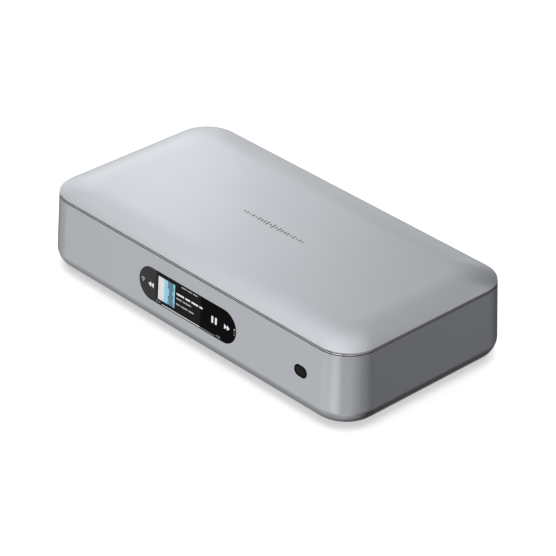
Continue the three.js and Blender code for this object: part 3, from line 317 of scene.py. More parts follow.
# ---------------- Base plate
# A moulded plastic tray under the case, with two banks of air slots, recesses for the feet,
# counterbored bosses for the four through screws, and pins and uprights for boards and rear bay.


def slab(bm, width, depth, radius, low, high, steps=8, at=(0, 0)):
    """A slab between two heights, with its upright corners rounded."""
    corners = bmesh.ops.create_grid(bm, x_segments=1, y_segments=1, size=0.5)["verts"]
    bmesh.ops.scale(bm, vec=(width, depth, 1), verts=corners)
    bmesh.ops.translate(bm, vec=(0, 0, low), verts=corners)
    bevelled = bmesh.ops.bevel(
        bm, geom=corners, offset=radius, offset_type="OFFSET", segments=steps,
        profile=0.5, affect="VERTICES", material=-1,
    )
    around = set(bevelled["verts"])
    face = next(f for f in bm.faces if f.verts[0] in around)
    raised = bmesh.ops.extrude_face_region(bm, geom=[face], use_keep_orig=True)["geom"]
    top = [v for v in raised if isinstance(v, bmesh.types.BMVert)]
    bmesh.ops.translate(bm, vec=(0, 0, high - low), verts=top)
    bmesh.ops.translate(bm, vec=(*at, 0), verts=list(face.verts) + top)


def block(name, place, edge, *sizes):
    """A piece that starts as one slab."""
    bm = bmesh.new()
    slab(bm, *sizes)
    return made(name, bm, place, edge=edge)


def pill(bm, width, height, low, high, steps=16, at=(0, 0)):
    slab(bm, width, height, min(width, height) / 2 - 0.01, low, high, steps, at)


def post(bm, radius, low, high, at=(0, 0), steps=24):
    """A round bar standing at a place."""
    verts = bmesh.ops.create_cone(
        bm, cap_ends=True, segments=steps, radius1=radius, radius2=radius, depth=high - low,
    )["verts"]
    bmesh.ops.translate(bm, vec=(*at, (low + high) / 2), verts=verts)


def shaped(piece, operation, build, place=Matrix()):
    """Joins what build draws to the piece, or cuts it out, and throws the tool away."""
    bm = bmesh.new()
    build(bm)
    tool = made("tool", bm, place)
    step = piece.modifiers.new("step", "BOOLEAN")
    step.operation = operation
    step.solver = "EXACT"
    step.object = tool
    while piece.modifiers[0] != step:
        piece.modifiers.move(len(piece.modifiers) - 1, 0)
    for other in piece.modifiers[1:]:
        other.show_viewport = False
    whole = piece.evaluated_get(bpy.context.evaluated_depsgraph_get())
    result = bpy.data.meshes.new_from_object(whole)
    piece.modifiers.remove(step)
    for other in piece.modifiers:
        other.show_viewport = True
    result.name = piece.data.name
    piece.data = result
    bpy.data.objects.remove(tool)


def four(x, y):
    return [(x, y), (-x, y), (-x, -y), (x, -y)]


low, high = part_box("base_plate")
plate_low = low.z / mm
plate_thick = 2.2
plate_top = plate_low + plate_thick
plate_width, plate_depth = -2 * low.x / mm, -2 * low.y / mm
column_x, column_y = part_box("base_screw_1")[0].x / mm + 2.8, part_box("base_screw_1")[0].y / mm + 2.8
foot_x, foot_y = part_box("foot_1")[0].x / mm + foot_radius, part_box("foot_1")[0].y / mm + foot_radius
vent_pitch, vent_count, vent_x = 8, 6, 56

base = block("base_tray", Matrix(), 0.3, plate_width, plate_depth, 11.9, plate_low, plate_top, 12)


upright_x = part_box("rear_screw_2")[0].x / mm + 2.8
upright_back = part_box("rear_panel")[0].y / mm - 0.3
board_low, board_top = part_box("psu_board")[0].z / mm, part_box("soc_shield")[0].z / mm - 0.3


def bosses(bm):
    for at in four(column_x, column_y):
        post(bm, 4, plate_top - 0.5, plate_low + 10, at)
    for name in ("psu_board", "main_board"):
        low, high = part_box(name)
        for x in (low.x / mm + 6, high.x / mm - 6):
            for y in (-column_y, high.y / mm - 18):
                seat, pin = board_low - 0.3, board_top + 1.2
                spun_at(bm, [
                    (0, plate_top - 0.5), (3, plate_top - 0.5), (3, seat), (1.4, seat), (1.4, pin - 0.4),
                    (1, pin), (0, pin),
                ], (x, y))


def upright_feet(bm):
    for x in (-upright_x, upright_x):
        slab(bm, 10, 4.2, 0.6, plate_top - 0.5, plate_top + 5, 3, (x, upright_back - 6.4))


def uprights(bm):
    for x in (-upright_x, upright_x):
        slab(bm, 10, 8.5, 0.6, plate_top + 3.4, plate_top + 36, 3, (x, upright_back - 4.25))


def openings(bm):
    for side in (-1, 1):
        for k in range(vent_count):
            y = (k - (vent_count - 1) / 2) * vent_pitch
            pill(bm, 34, 2.4, 0, plate_top + 1, 6, (side * vent_x, y))
    for at in four(column_x, column_y):
        seat = plate_low + 2.2
        spun_at(bm, [(0, 0), (3.1, 0), (3.1, seat), (1.6, seat), (1.6, 14), (0, 14)], at)
    for at in four(foot_x, foot_y):
        post(bm, foot_radius + 0.3, 0, plate_low + 1, at, 48)
    slab(bm, 46, 22, 1.5, 0, plate_low + 0.4, 6)


def spun_at(bm, profile, at, steps=24):
    """The same turned shape standing at a place."""
    before = set(bm.verts)
    spun(bm, profile, steps)
    moved = [v for v in bm.verts if v not in before]
    bmesh.ops.remove_doubles(bm, verts=moved, dist=1e-4)
    moved = [v for v in bm.verts if v not in before]
    bmesh.ops.translate(bm, vec=(*at, 0), verts=moved)


shaped(base, "UNION", bosses)
shaped(base, "UNION", upright_feet)
shaped(base, "UNION", uprights)
shaped(base, "DIFFERENCE", openings)
moulded_black = surface(
    "moulded_black", tint(34, 35, 37), tint(27, 28, 29), (0.42, 0.62), grain=1500, relief=0.03,
)
belongs(base, moulded_black, "base_plate")

# ---------------- Boards
# Two glass-fibre boards under a green solder mask, set on the pins of the base plate: the mains supply
# on the left and the main board on the right. A folded white sheet stands between them.


def finished(name, material, edge=0.15):
    """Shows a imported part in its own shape, with its edges rounded and its finish on."""
    part = nodes[name]
    part.data.materials.clear()
    part.data.materials.append(material)
    part.data.shade_smooth()
    part.modifiers.new("weld", "WELD").merge_threshold = 1e-6
    rounded(part, edge)


def print_group():
    """Masks for the tracks, the plated pads and the white outlines of a circuit board."""
    group, given, out = mask_group("board_print", ("Track", "Pad", "Outline"))

    def find(operation, *values):
        return maths(group, operation, *values)

    def chance(one, other):
        cell = add(group, "CombineXYZ", {"X": find("FLOOR", one), "Y": find("FLOOR", other)})
        white = add(group, "TexWhiteNoise", {"Vector": cell.outputs[0]}, noise_dimensions="2D")
        return white.outputs["Value"]

    def off_middle(value):
        return find("ABSOLUTE", find("SUBTRACT", find("FRACT", value), 0.5))

    split = add(group, "SeparateXYZ", {0: given.outputs["Place"]}).outputs
    along, across = find("MULTIPLY", split["X"], 830), find("MULTIPLY", split["Y"], 830)
    track = find("LESS_THAN", off_middle(across), 0.17)
    run = find("GREATER_THAN", chance(find("MULTIPLY", along, 0.09), across), 0.45)
    feed(group, out.inputs["Track"], find("MULTIPLY", track, run))
    squares = [find("POWER", off_middle(value), 2) for value in (along, across)]
    dot = find("LESS_THAN", find("SQRT", find("ADD", *squares)), 0.3)
    chosen = find("GREATER_THAN", chance(along, across), 0.88)
    feed(group, out.inputs["Pad"], find("MULTIPLY", dot, chosen))
    wide, tall = find("MULTIPLY", along, 0.11), find("MULTIPLY", across, 0.2)
    frame_line = find("MAXIMUM", off_middle(wide), find("ADD", off_middle(tall), -0.05))
    edge = find("COMPARE", frame_line, 0.4, 0.02)
    picked = find("GREATER_THAN", chance(wide, tall), 0.7)
    feed(group, out.inputs["Outline"], find("MULTIPLY", edge, picked))
    return group


circuit_board = surface(
    "circuit_board", tint(16, 84, 52), tint(10, 62, 38), (0.3, 0.45), grain=900, relief=0.01,
)
tree = circuit_board.node_tree
shader = tree.nodes["Principled BSDF"]
where = add(tree, "TexCoord").outputs["Object"]
printed = add(tree, "Group", {"Place": where}, node_tree=print_group()).outputs
mask_colour = shader.inputs["Base Color"].links[0].from_socket
tracked = blended(tree, printed["Track"], mask_colour, tint(30, 112, 70))
plated = blended(tree, printed["Pad"], tracked, tint(226, 194, 118))
tree.links.new(blended(tree, printed["Outline"], plated, tint(226, 228, 222)), shader.inputs["Base Color"])
tree.links.new(printed["Pad"], shader.inputs["Metallic"])
for name in ("psu_board", "main_board"):
    finished(name, circuit_board, 0.1)

white_film = surface(
    "white_film", tint(222, 220, 208), tint(208, 206, 194), (0.45, 0.6), grain=700, relief=0.02,
)
finished("insulation_sheet", white_film, 0.05)

# ---------------- Parts on the boards
# A plated shield and a radio module, the amplifier chip under an extruded aluminium heatsink, ferrite
# chokes, sleeved capacitors, a tape-wound transformer, and the lead that joins the two boards.

plated_steel = surface(
    "plated_steel", tint(214, 213, 208), tint(196, 195, 190), (0.22, 0.4),
    metallic=1.0, grain=900, relief=0.004,
)
finished("soc_shield", plated_steel, 0.3)
finished("wifi_module", plated_steel, 0.2)
chip_plastic = surface(
    "chip_plastic", tint(44, 44, 46), tint(34, 34, 36), (0.5, 0.7), grain=2400, relief=0.02,
)
finished("amplifier_chip", chip_plastic, 0.1)
heatsink_aluminium = surface(
    "heatsink_aluminium", tint(188, 191, 195), tint(168, 171, 176), (0.34, 0.5),
    metallic=1.0, grain=500, relief=0.01,
)
finished("amp_heatsink", heatsink_aluminium, 0.25)
ferrite = surface("ferrite", tint(74, 74, 78), tint(54, 54, 58), (0.5, 0.75), grain=1500, relief=0.04)
for name in ("output_choke_1", "output_choke_2", "mains_choke"):
    finished(name, ferrite, 0.3)
can_sleeve = surface("can_sleeve", tint(34, 40, 74), tint(24, 28, 56), (0.2, 0.34), grain=400, relief=0.01)
for name in ("rail_capacitor_1", "rail_capacitor_2", "mains_capacitor"):
    finished(name, can_sleeve, 0.3)
winding_tape = surface(
    "winding_tape", tint(208, 176, 62), tint(178, 146, 42), (0.28, 0.45), grain=600, relief=0.03,
)
finished("psu_transformer", winding_tape, 0.3)
lead_jacket = surface(
    "lead_jacket", tint(52, 52, 55), tint(36, 36, 38), (0.35, 0.5), grain=1200, relief=0.03,
)
finished("supply_lead", lead_jacket, 0.6)

# ---------------- Rear bay
# A tray moulded in one with a fine texture, sunk into the rear wall of the case. Its flange lies behind
# the wall, two screws hold it to the base plate, and every socket looks out through it.

bay_low, bay_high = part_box("rear_panel")
bay_edge_y = bay_high.y / mm
bay_flange = 2.5
bay_half = bay_high.x / mm - bay_flange
bay_bottom, bay_top = bay_low.z / mm + bay_flange, bay_high.z / mm - bay_flange
bay_middle = (bay_bottom + bay_top) / 2
bay_height = bay_top - bay_bottom
bay_wall, bay_corner = 2, 4
panel_face = bay_low.y / mm + bay_wall
fit = 0.35


def from_behind(x, z, y):
    """Local x runs right and local y up as seen from behind the case, and local z comes out of the rear."""
    turned = Matrix.Translation((x, y, z)) @ Matrix.Rotation(math.pi, 4, "Z")
    return turned @ Matrix.Rotation(math.pi / 2, 4, "X")


def middle_of(name):
    low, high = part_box(name)
    return (low + high) / 2 / mm


def size_of(name):
    low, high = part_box(name)
    return (high - low) / mm


def video_outline(width, height, corner):
    """The outline of a video socket: the two lower corners are cut off."""
    x, y = width / 2, height / 2
    return [(x, y), (-x, y), (-x, corner - y), (corner - x, -y), (x - corner, -y), (x, corner - y)]


def prism(bm, outline, low, high, at=(0, 0)):
    """A straight block over a flat outline."""
    verts = [bm.verts.new((x + at[0], y + at[1], low)) for x, y in outline]
    face = bm.faces.new(verts)
    raised = bmesh.ops.extrude_face_region(bm, geom=[face], use_keep_orig=True)["geom"]
    top = [v for v in raised if isinstance(v, bmesh.types.BMVert)]
    bmesh.ops.translate(bm, vec=(0, 0, high - low), verts=top)


place = from_behind(0, bay_middle, panel_face)
bay_deep = bay_edge_y - panel_face
bay = block("rear_bay", place, 0.25, 2 * bay_half, bay_height, bay_corner, -bay_wall, bay_deep, 10)


def bay_flange_ring(bm):
    reach = bay_deep - 2.3
    slab(bm, 2 * bay_half + 5, bay_height + 5, bay_corner + bay_flange, reach - 2.2, reach, 10)


def bay_hollow(bm):
    inner = bay_height - 2 * bay_wall
    slab(bm, 2 * (bay_half - bay_wall), inner, bay_corner - bay_wall, 0, 20, 6)


def bay_holes(bm):
    def spot(name):
        return -middle_of(name).x, middle_of(name).z - bay_middle

    for name in ("mains_inlet", "usb_socket", "lan_socket", "optical_socket"):
        size = size_of(name)
        slab(bm, size.x + 2 * fit, size.z + 2 * fit, 0.9, -3, 1, 4, spot(name))
    size = size_of("hdmi_socket")
    prism(bm, video_outline(size.x + 2 * fit, size.z + 2 * fit, 2.1), -3, 1, spot("hdmi_socket"))
    post(bm, 2.65, -3, 1, spot("pair_button"), 32)
    x, z = spot("rca_block")
    for step in (-7, 7):
        post(bm, 4.45, -3, 1, (x, z + step), 40)
    for k in range(1, 5):
        post(bm, 3.2, -3, 1, spot(f"post_stem_{k}"), 32)
    for k in (1, 2):
        post(bm, 1.65, -3, 1, spot(f"rear_screw_{k}"), 20)


shaped(bay, "UNION", bay_flange_ring, place)
shaped(bay, "DIFFERENCE", bay_hollow, place)
shaped(bay, "DIFFERENCE", bay_holes, place)
belongs(bay, moulded_black, "rear_panel")
for name in ("antenna_1", "antenna_2"):
    finished(name, circuit_board, 0.1)

# ---------------- Mains inlet
# A moulded two-pole socket with a deep well and two plated pins, soldered to the mains board.

x, _, z = middle_of("mains_inlet")
socket_face = panel_face + 0.3
place = from_behind(x, z, socket_face)
inlet = block("inlet_housing", place, 0.3, 22, 14.5, 1, -19, 0, 4)
shaped(inlet, "DIFFERENCE", lambda bm: pill(bm, 17.2, 8.8, -12, 1, 16), place)
belongs(inlet, moulded_black, "mains_inlet")
for k, side in enumerate((-4.3, 4.3), 1):
    bm = bmesh.new()
    spun(bm, [(0, -12), (1.2, -12), (1.2, -2.3), (1.05, -1.8), (0.7, -1.55), (0, -1.5)], 24)
    pin = made(f"inlet_pin_{k}", bm, from_behind(x + side, z, socket_face))
    belongs(pin, plated_steel, "mains_inlet")

# ---------------- Pair button
# A small smooth moulded button with a shallow dish for a fingertip. It pushes a switch on the main board.

bm = bmesh.new()
spun(bm, [
    (0, -3.3), (3.2, -3.3), (3.2, -2.3), (2.3, -2.3), (2.3, 1), (2.2, 1.25), (1.95, 1.4),
    (1.4, 1.33), (0.8, 1.22), (0, 1.18),
], 40)
x, _, z = middle_of("pair_button")
button = made("round_button", bm, from_behind(x, z, panel_face))
button_plastic = surface(
    "button_plastic", tint(40, 40, 43), tint(32, 32, 34), (0.24, 0.36), grain=1500, relief=0.01,
)
belongs(button, button_plastic, "pair_button", "pair_button")

# ---------------- USB socket
# A folded and plated steel shell round a moulded tongue with four gold-plated contacts.

x, _, z = middle_of("usb_socket")
place = from_behind(x, z, socket_face)
usb = block("usb_shell", place, 0.15, 14, 7.2, 0.8, -14, 0, 5)
shaped(usb, "DIFFERENCE", lambda bm: slab(bm, 12.4, 5.2, 0.4, -12, 1, 4), place)
belongs(usb, plated_steel, "usb_socket")
tongue = block("usb_tongue", place, 0.12, 11, 1.7, 0.25, -12.5, -1, 3, (0, 0.9))
belongs(tongue, moulded_black, "usb_socket")
bm = bmesh.new()
for step in (-3.5, -1.2, 1.2, 3.5):
    slab(bm, 1, 0.16, 0.05, -9.5, -1.6, 2, (step, 0.05))
contacts = made("usb_contacts", bm, place)
gold_plate = surface(
    "gold_plate", tint(236, 200, 112), tint(224, 184, 96), (0.16, 0.28),
    metallic=1.0, grain=1500, relief=0.003,
)
belongs(contacts, gold_plate, "usb_socket")

# ---------------- Network socket
# A plated steel shield round a moulded insert with a stepped mouth, and eight gold spring wires
# that slope up from the floor of the mouth.

x, _, z = middle_of("lan_socket")
place = from_behind(x, z, socket_face)
lan = block("lan_shield", place, 0.15, 16, 13.4, 0.6, -18, 0, 4)
shaped(lan, "DIFFERENCE", lambda bm: slab(bm, 14.2, 11.6, 0.4, -16.5, 1, 3), place)
belongs(lan, plated_steel, "lan_socket")
insert = block("lan_insert", place, 0.12, 14.1, 11.5, 0.35, -16.4, -0.5, 3)
shaped(insert, "DIFFERENCE", lambda bm: slab(bm, 11.8, 7.4, 0.2, -15, 1, 2, (0, -0.8)), place)
shaped(insert, "DIFFERENCE", lambda bm: slab(bm, 6, 2.6, 0.2, -15, 1, 2, (0, 3.6)), place)
belongs(insert, moulded_black, "lan_socket")
bm = bmesh.new()
for k in range(8):
    slab(bm, 0.5, 0.3, 0.1, -6, 6, 2, ((k - 3.5) * 1.02, 0))
sloping = place @ Matrix.Translation((0, -2.6, -8.2)) @ Matrix.Rotation(math.radians(14), 4, "X")
wires = made("lan_wires", bm, sloping)
belongs(wires, gold_plate, "lan_socket")

# ---------------- Video socket
# A plated steel shell with its lower corners cut off, round a thin moulded tongue.

x, _, z = middle_of("hdmi_socket")
place = from_behind(x, z, socket_face)
bm = bmesh.new()
prism(bm, video_outline(15, 6.4, 2), -11, 0)
video = made("video_shell", bm, place, edge=0.15)
shaped(video, "DIFFERENCE", lambda bm: prism(bm, video_outline(13.8, 5.0, 1.6), -9.5, 1), place)
belongs(video, plated_steel, "hdmi_socket")
tongue = block("video_tongue", place, 0.1, 11, 1, 0.15, -10, -1.2, 2)
belongs(tongue, moulded_black, "hdmi_socket")

# ---------------- Optical socket
# A moulded block with a square mouth. A shutter hangs from a pin along the top of the mouth, and a
# light spring keeps it shut until a plug pushes it inwards.

x, _, z = middle_of("optical_socket")
place = from_behind(x, z, socket_face)
optical = block("optical_housing", place, 0.3, 11, 11, 0.8, -14, 0, 4)
shaped(optical, "DIFFERENCE", lambda bm: slab(bm, 7.6, 7.6, 0.3, -11, 1, 3, (0, 0.6)), place)
belongs(optical, moulded_black, "optical_socket")
pin_z, pin_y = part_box("optical_shutter")[1].z / mm - 0.55, middle_of("optical_shutter").y
place = from_behind(x, pin_z, pin_y)
flap = block("shutter_flap", place, 0.12, 6.9, 6.6, 0.4, -0.4, 0.35, 4, (0, -3.3))


def knuckle(bm):
    before = set(bm.verts)
    post(bm, 0.55, -3.5, 3.5, steps=20)
    turned = [v for v in bm.verts if v not in before]
    bmesh.ops.rotate(bm, cent=(0, 0, 0), matrix=Matrix.Rotation(math.pi / 2, 3, "Y"), verts=turned)


shaped(flap, "UNION", knuckle, place)
belongs(flap, button_plastic, "optical_shutter", "optical_shutter")

# ---------------- Phono sockets
# A moulded block behind the bay wall carries two nickel-plated sleeves, one round a white insulator and
# one round a red, each with a bore for the plug's pin and a thin nut against the wall.

x = middle_of("rca_block").x
z = (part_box("rca_block")[0].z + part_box("rca_block")[1].z) / 2 / mm
block_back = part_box("rca_block")[0].y / mm
housing = block("phono_block", from_behind(x, z, block_back), 0.4, 13, 28, 1, 0, 13, 4)
rca_body = surface("rca_body", tint(38, 38, 41), tint(28, 28, 30), (0.4, 0.58), grain=1500, relief=0.03)
belongs(housing, rca_body, "rca_block")
insulators = [
    ("phono_white", surface("insulator_white", tint(232, 232, 228), tint(220, 220, 215), (0.25, 0.4))),
    ("phono_red", surface("insulator_red", tint(178, 30, 26), tint(152, 22, 20), (0.25, 0.4))),
]
for k, (name, insulator) in enumerate(insulators):
    place = from_behind(x, z + (7, -7)[k], panel_face)
    bm = bmesh.new()
    spun(bm, [
        (3.35, -2.2), (4.1, -2.2), (4.1, 0.05), (5.1, 0.05), (5.3, 0.25), (5.3, 0.75), (5.1, 0.95),
        (4.1, 0.95), (4.1, 7.6), (3.95, 7.9), (3.7, 8), (3.5, 7.9), (3.35, 7.6),
    ], 48, closed=True)
    sleeve = made(f"{name}_sleeve", bm, place)
    belongs(sleeve, plated_steel, "rca_block")
    bm = bmesh.new()
    spun(bm, [(0, -2.2), (3.3, -2.2), (3.3, 6.9), (3.1, 7.1), (1.9, 7.1), (1.6, 6.8), (1.6, 0), (0, 0)], 40)
    core = made(f"{name}_core", bm, place)
    belongs(core, insulator, "rca_block")

# ---------------- Speaker terminals
# Each is a gold-plated brass stem clamped in the bay wall by its nut, a brass core, and a moulded cap
# with a fluted grip that screws down on the lead. Left pair above, right pair below; red is positive.


def skin(bm, loops, closed=True):
    """Joins each loop of points to the next by faces. An open run is closed off at both ends."""
    for one, other in zip(loops, loops[1:] + loops[:1] * closed):
        for k in range(len(one)):
            bm.faces.new((one[k - 1], one[k], other[k], other[k - 1]))
    if not closed:
        bm.faces.new(loops[0])
        bm.faces.new(loops[-1])


def fluted(bm, radius, depth, z, count, steps=8):
    """A loop of points with shallow flutes cut into it."""
    total = count * steps
    ring = []
    for k in range(total):
        a = 2 * math.pi * k / total
        r = radius - depth * (0.5 - 0.5 * math.cos(count * a)) ** 2
        ring.append(bm.verts.new((r * math.cos(a), r * math.sin(a), z)))
    return ring


post_black = surface("post_black", tint(36, 36, 38), tint(28, 28, 30), (0.26, 0.4), grain=1200, relief=0.01)
post_red = surface("post_red", tint(176, 26, 24), tint(150, 20, 19), (0.26, 0.4), grain=1200, relief=0.01)
thread = [(2.5 - 0.22 * (k % 2), 1.7 + 0.3 * k) for k in range(32)]
for k in range(1, 5):
    x, _, z = middle_of(f"post_stem_{k}")
    place = from_behind(x, z, panel_face)
    bm = bmesh.new()
    spun(bm, [
        (0, -14), (1.2, -14), (1.4, -13.7), (1.4, -6), (4.3, -6), (4.5, -5.8), (4.5, -2.5), (4.3, -2.3),
        (2.9, -2.3), (2.9, 0.3), (4.8, 0.3), (5, 0.5), (5, 1.3), (4.8, 1.5), (2.5, 1.5), *thread,
        (1.9, 11.7), (0, 11.7),
    ], 32)
    stem = made(f"terminal_stem_{k}", bm, place)
    through = place @ Matrix.Translation((0, 0, 3.2)) @ Matrix.Rotation(math.pi / 2, 4, "Y")
    shaped(stem, "DIFFERENCE", lambda bm: post(bm, 1.1, -5, 5, steps=20), through)
    belongs(stem, gold_plate, f"post_stem_{k}")
    bm = bmesh.new()
    spun(bm, [
        (2.8, 2.8), (3, 2.6), (4, 2.6), (4.2, 2.8), (4.2, 8.4), (4, 8.6), (3, 8.6), (2.8, 8.4),
    ], 40, closed=True)
    core = made(f"terminal_core_{k}", bm, place)
    belongs(core, gold_plate, f"post_core_{k}", f"post_core_{k}")

    bm = bmesh.new()
    grip = [
        (5.7, 0.3, 1.9), (6.15, 0.45, 2.4), (6.15, 0.45, 12.8), (5.9, 0.3, 13.35), (5.4, 0, 13.6),
        (4.6, 0, 13.6), (4.3, 0, 13.25),
    ]
    skin(bm, [fluted(bm, radius, depth, height, 18) for radius, depth, height in grip], closed=False)
    cap = made(f"terminal_cap_{k}", bm, place, crease=50)

    def cap_bore(bm):
        spun(bm, [(0, 0), (4.5, 0), (4.5, 9), (3, 9), (3, 12.4), (0, 12.4)], 40)

    def cap_mark(bm):
        arm, half = 1.6, 0.35
        up = arm if k % 2 == 0 else half
        prism(bm, [
            (arm, half), (half, half), (half, up), (-half, up), (-half, half), (-arm, half),
            (-arm, -half), (-half, -half), (-half, -up), (half, -up), (half, -half), (arm, -half),
        ], 13.05, 14)

    shaped(cap, "DIFFERENCE", cap_bore, place)
    shaped(cap, "DIFFERENCE", cap_mark, place)
    finish = post_black if k % 2 else post_red
    belongs(cap, finish, f"post_cap_{k}", f"post_cap_{k}")

# ---------------- Case shell
# One aluminium wall all round, pressed and then machined, with round corners and a broad rolled lower edge.
# Bead blasted and anodised. The base plate is pulled up against its inner ledge.

low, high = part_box("body_shell")
case_low, rim_z = low.z / mm, high.z / mm
draft, wall, roll_size = 0.05, 3, 13
spread = draft * (rim_z - case_low - roll_size)
rim_width, rim_depth, rim_radius = 2 * high.x / mm - 2 * spread, 2 * high.y / mm - 2 * spread, 26
land_inset = 16 - spread
ledge_inset = land_inset + 8
ledge_low, ledge_top = plate_top + 0.3, plate_top + 2.8


def level(bm, width, depth, radius, z, steps):
    """A rectangle with round corners, as points in order round it."""
    points = []
    for quarter, (x, y) in enumerate(((1, 1), (-1, 1), (-1, -1), (1, -1))):
        for step in range(steps + 1):
            a = math.pi / 2 * (quarter + step / steps)
            across = x * (width / 2 - radius) + radius * math.cos(a)
            along = y * (depth / 2 - radius) + radius * math.sin(a)
            points.append(bm.verts.new((across, along, z)))
    return points


def case_loop(bm, inset, z, radius=None):
    """One level of the case: its outline, a distance inside the rim."""
    radius = max(rim_radius - inset if radius is None else radius, 1.5)
    return level(bm, rim_width - 2 * inset, rim_depth - 2 * inset, radius, z, 18)


bm = bmesh.new()
section = [(land_inset, case_low)]
for step in range(17):
    a = step / 16 * math.pi / 2
    section.append((roll_size * (1 - math.sin(a)) - spread, case_low + roll_size * (1 - math.cos(a))))
section += [(0, rim_z), (wall, rim_z)]
for step in range(8, -1, -1):
    a = step / 8 * math.pi / 2
    inner_up = case_low + roll_size - ledge_top
    inset = roll_size - (roll_size - wall) * math.sin(a) - spread
    section.append((inset, ledge_top + inner_up * (1 - math.cos(a))))
section += [(ledge_inset, ledge_top), (ledge_inset, ledge_low), (land_inset, ledge_low)]
skin(bm, [case_loop(bm, inset, z) for inset, z in section])
shell = made("case_shell", bm, edge=0.35)

glass_low, glass_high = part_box("display_glass")
glass_width = (glass_high.x - glass_low.x) / mm
glass_thick = 2.75
glass_height = 25.4
glass_sunk = 0.05
lean = math.atan(draft)
wall_face = Matrix.Rotation(-lean, 4, "X") @ Matrix.Rotation(math.pi / 2, 4, "X")
glass_middle = (glass_low + glass_high) / 2 / mm
forward = Matrix.Translation((0, 0, glass_thick / 2 + glass_sunk))
front = Matrix.Translation(glass_middle) @ wall_face @ forward
receiver_low, receiver_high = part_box("ir_window")
receiver_x = (receiver_low.x + receiver_high.x) / 2 / mm
receiver_width, receiver_height = 11.8, 8.4


def front_openings(bm):
    pill(bm, glass_width + 2 * fit, glass_height + 2 * fit, -2 * wall, wall, 24)
    pill(bm, receiver_width + 2 * fit, receiver_height + 2 * fit, -2 * wall, wall, 16, (receiver_x, 0))


def rear_opening(bm):
    slab(bm, 2 * (bay_half + fit), bay_height + 2 * fit, bay_corner + fit, -20, 30, 8)


def studs(bm):
    for side in (-1, 1):
        post(bm, 2, -9.6, -wall + 0.5, (side * (glass_width / 2 + 6.9), 0), 20)


shaped(shell, "UNION", studs, front)
shaped(shell, "DIFFERENCE", front_openings, front)
shaped(shell, "DIFFERENCE", rear_opening, from_behind(0, bay_middle, rim_depth / 2))
satin_aluminium = surface(
    "satin_aluminium", tint(212, 215, 220), tint(207, 210, 215), (0.33, 0.39),
    metallic=1.0, grain=2600, relief=0.004,
)
belongs(shell, satin_aluminium, "body_shell")

# ---------------- Display
# Behind the front wall: a soft gasket, the display cell in a moulded frame, the touch board, and an
# amber ribbon down to the main board. In the wall: a pill of cover glass, printed black at the back.

foam = surface("gasket_foam", tint(40, 40, 41), tint(28, 28, 29), (0.8, 0.95), grain=1400, relief=0.06)
finished("display_gasket", foam, 0.1)
cell = surface("display_cell", tint(30, 31, 36), tint(20, 21, 25), (0.12, 0.2), grain=600, relief=0.002)
finished("lcd_panel", cell, 0.2)
finished("display_frame", moulded_black, 0.2)
finished("touch_board", circuit_board, 0.1)
amber_film = surface(
    "amber_film", tint(196, 136, 48), tint(170, 108, 32), (0.2, 0.34), grain=500, relief=0.01,
)
finished("display_flex", amber_film, 0.05)

bm = bmesh.new()
pill(bm, glass_width, glass_height, -glass_thick - glass_sunk, -glass_sunk, 32)
glass = made("cover_glass", bm, front, edge=0.35, edge_steps=3)
screen_glass = surface(
    "screen_glass", tint(7, 7, 8), tint(4, 4, 5), (0.035, 0.06),
    grain=900, relief=0.0002, Specular_IOR_Level=0.02,
)
tree = screen_glass.node_tree
shader = tree.nodes["Principled BSDF"]
split = add(tree, "SeparateXYZ", {0: add(tree, "TexCoord").outputs["Object"]}).outputs
reach = glass_width / 2 * mm
across = add(tree, "MapRange", {"Value": split["X"], "From Min": -reach, "From Max": reach})
backlight = add(tree, "ValToRGB", {"Fac": across.outputs["Result"]})
glow_stops = [(-48, 58), (-34, 55), (-31, 24), (13, 26), (14.5, 2)]
stops = backlight.color_ramp.elements
while len(stops) < len(glow_stops):
    stops.new(0.5)
for stop, (u, grey) in zip(stops, glow_stops):
    stop.position = (u + glass_width / 2) / glass_width
    stop.color = tint(grey, grey, grey + 1)
tree.links.new(backlight.outputs["Color"], shader.inputs["Emission Color"])
shader.inputs["Emission Strength"].default_value = 1
belongs(glass, screen_glass, "display_glass")

# ---------------- Lit interface
# What the display shows while music plays: a picture with lines of text beside it, drawn as plain bars,
# the playing controls, and a progress line along the bottom. It shines through the glass.

print_low, print_high = -glass_sunk - 0.03, -glass_sunk + 0.015


def bar(bm, left, right, middle, thick):
    width, at = right - left, ((left + right) / 2, middle)
    slab(bm, width, thick, min(thick, width) * 0.3, print_low, print_high, 3, at)


def arc(bm, inner, outer, low, high, at, steps=12):
    angles = [math.radians(low + (high - low) * k / steps) for k in range(steps + 1)]
    rim = [(outer * math.cos(a), outer * math.sin(a)) for a in angles]
    hollow = [(inner * math.cos(a), inner * math.sin(a)) for a in reversed(angles)]
    prism(bm, rim + hollow, print_low, print_high, at)


def triangle(bm, tip, base, middle, half):
    outline = [(tip, middle), (base, middle + half), (base, middle - half)]
    prism(bm, outline, print_low, print_high)


def number(bm, text, left, middle, height=1.7):
    """A time, in digits of seven short strokes."""
    strokes = {
        "0": "abcdef", "1": "bc", "2": "abdeg", "3": "abcdg", "4": "bcfg", "5": "acdfg", "7": "abc",
    }
    wide, thick, half = 0.85, 0.22, height / 2
    for character in text:
        if character == ":":
            for step in (-0.35, 0.35):
                bar(bm, left, left + thick, middle + step, thick)
            left += 0.55
            continue
        for stroke in strokes[character]:
            if stroke in "agd":
                bar(bm, left, left + wide, middle + {"a": half, "g": 0, "d": -half}[stroke], thick)
            else:
                x = left if stroke in "ef" else left + wide - thick
                y = middle + (half / 2 if stroke in "bf" else -half / 2)
                bar(bm, x, x + thick, y, half - 0.06)
        left += wide + 0.45


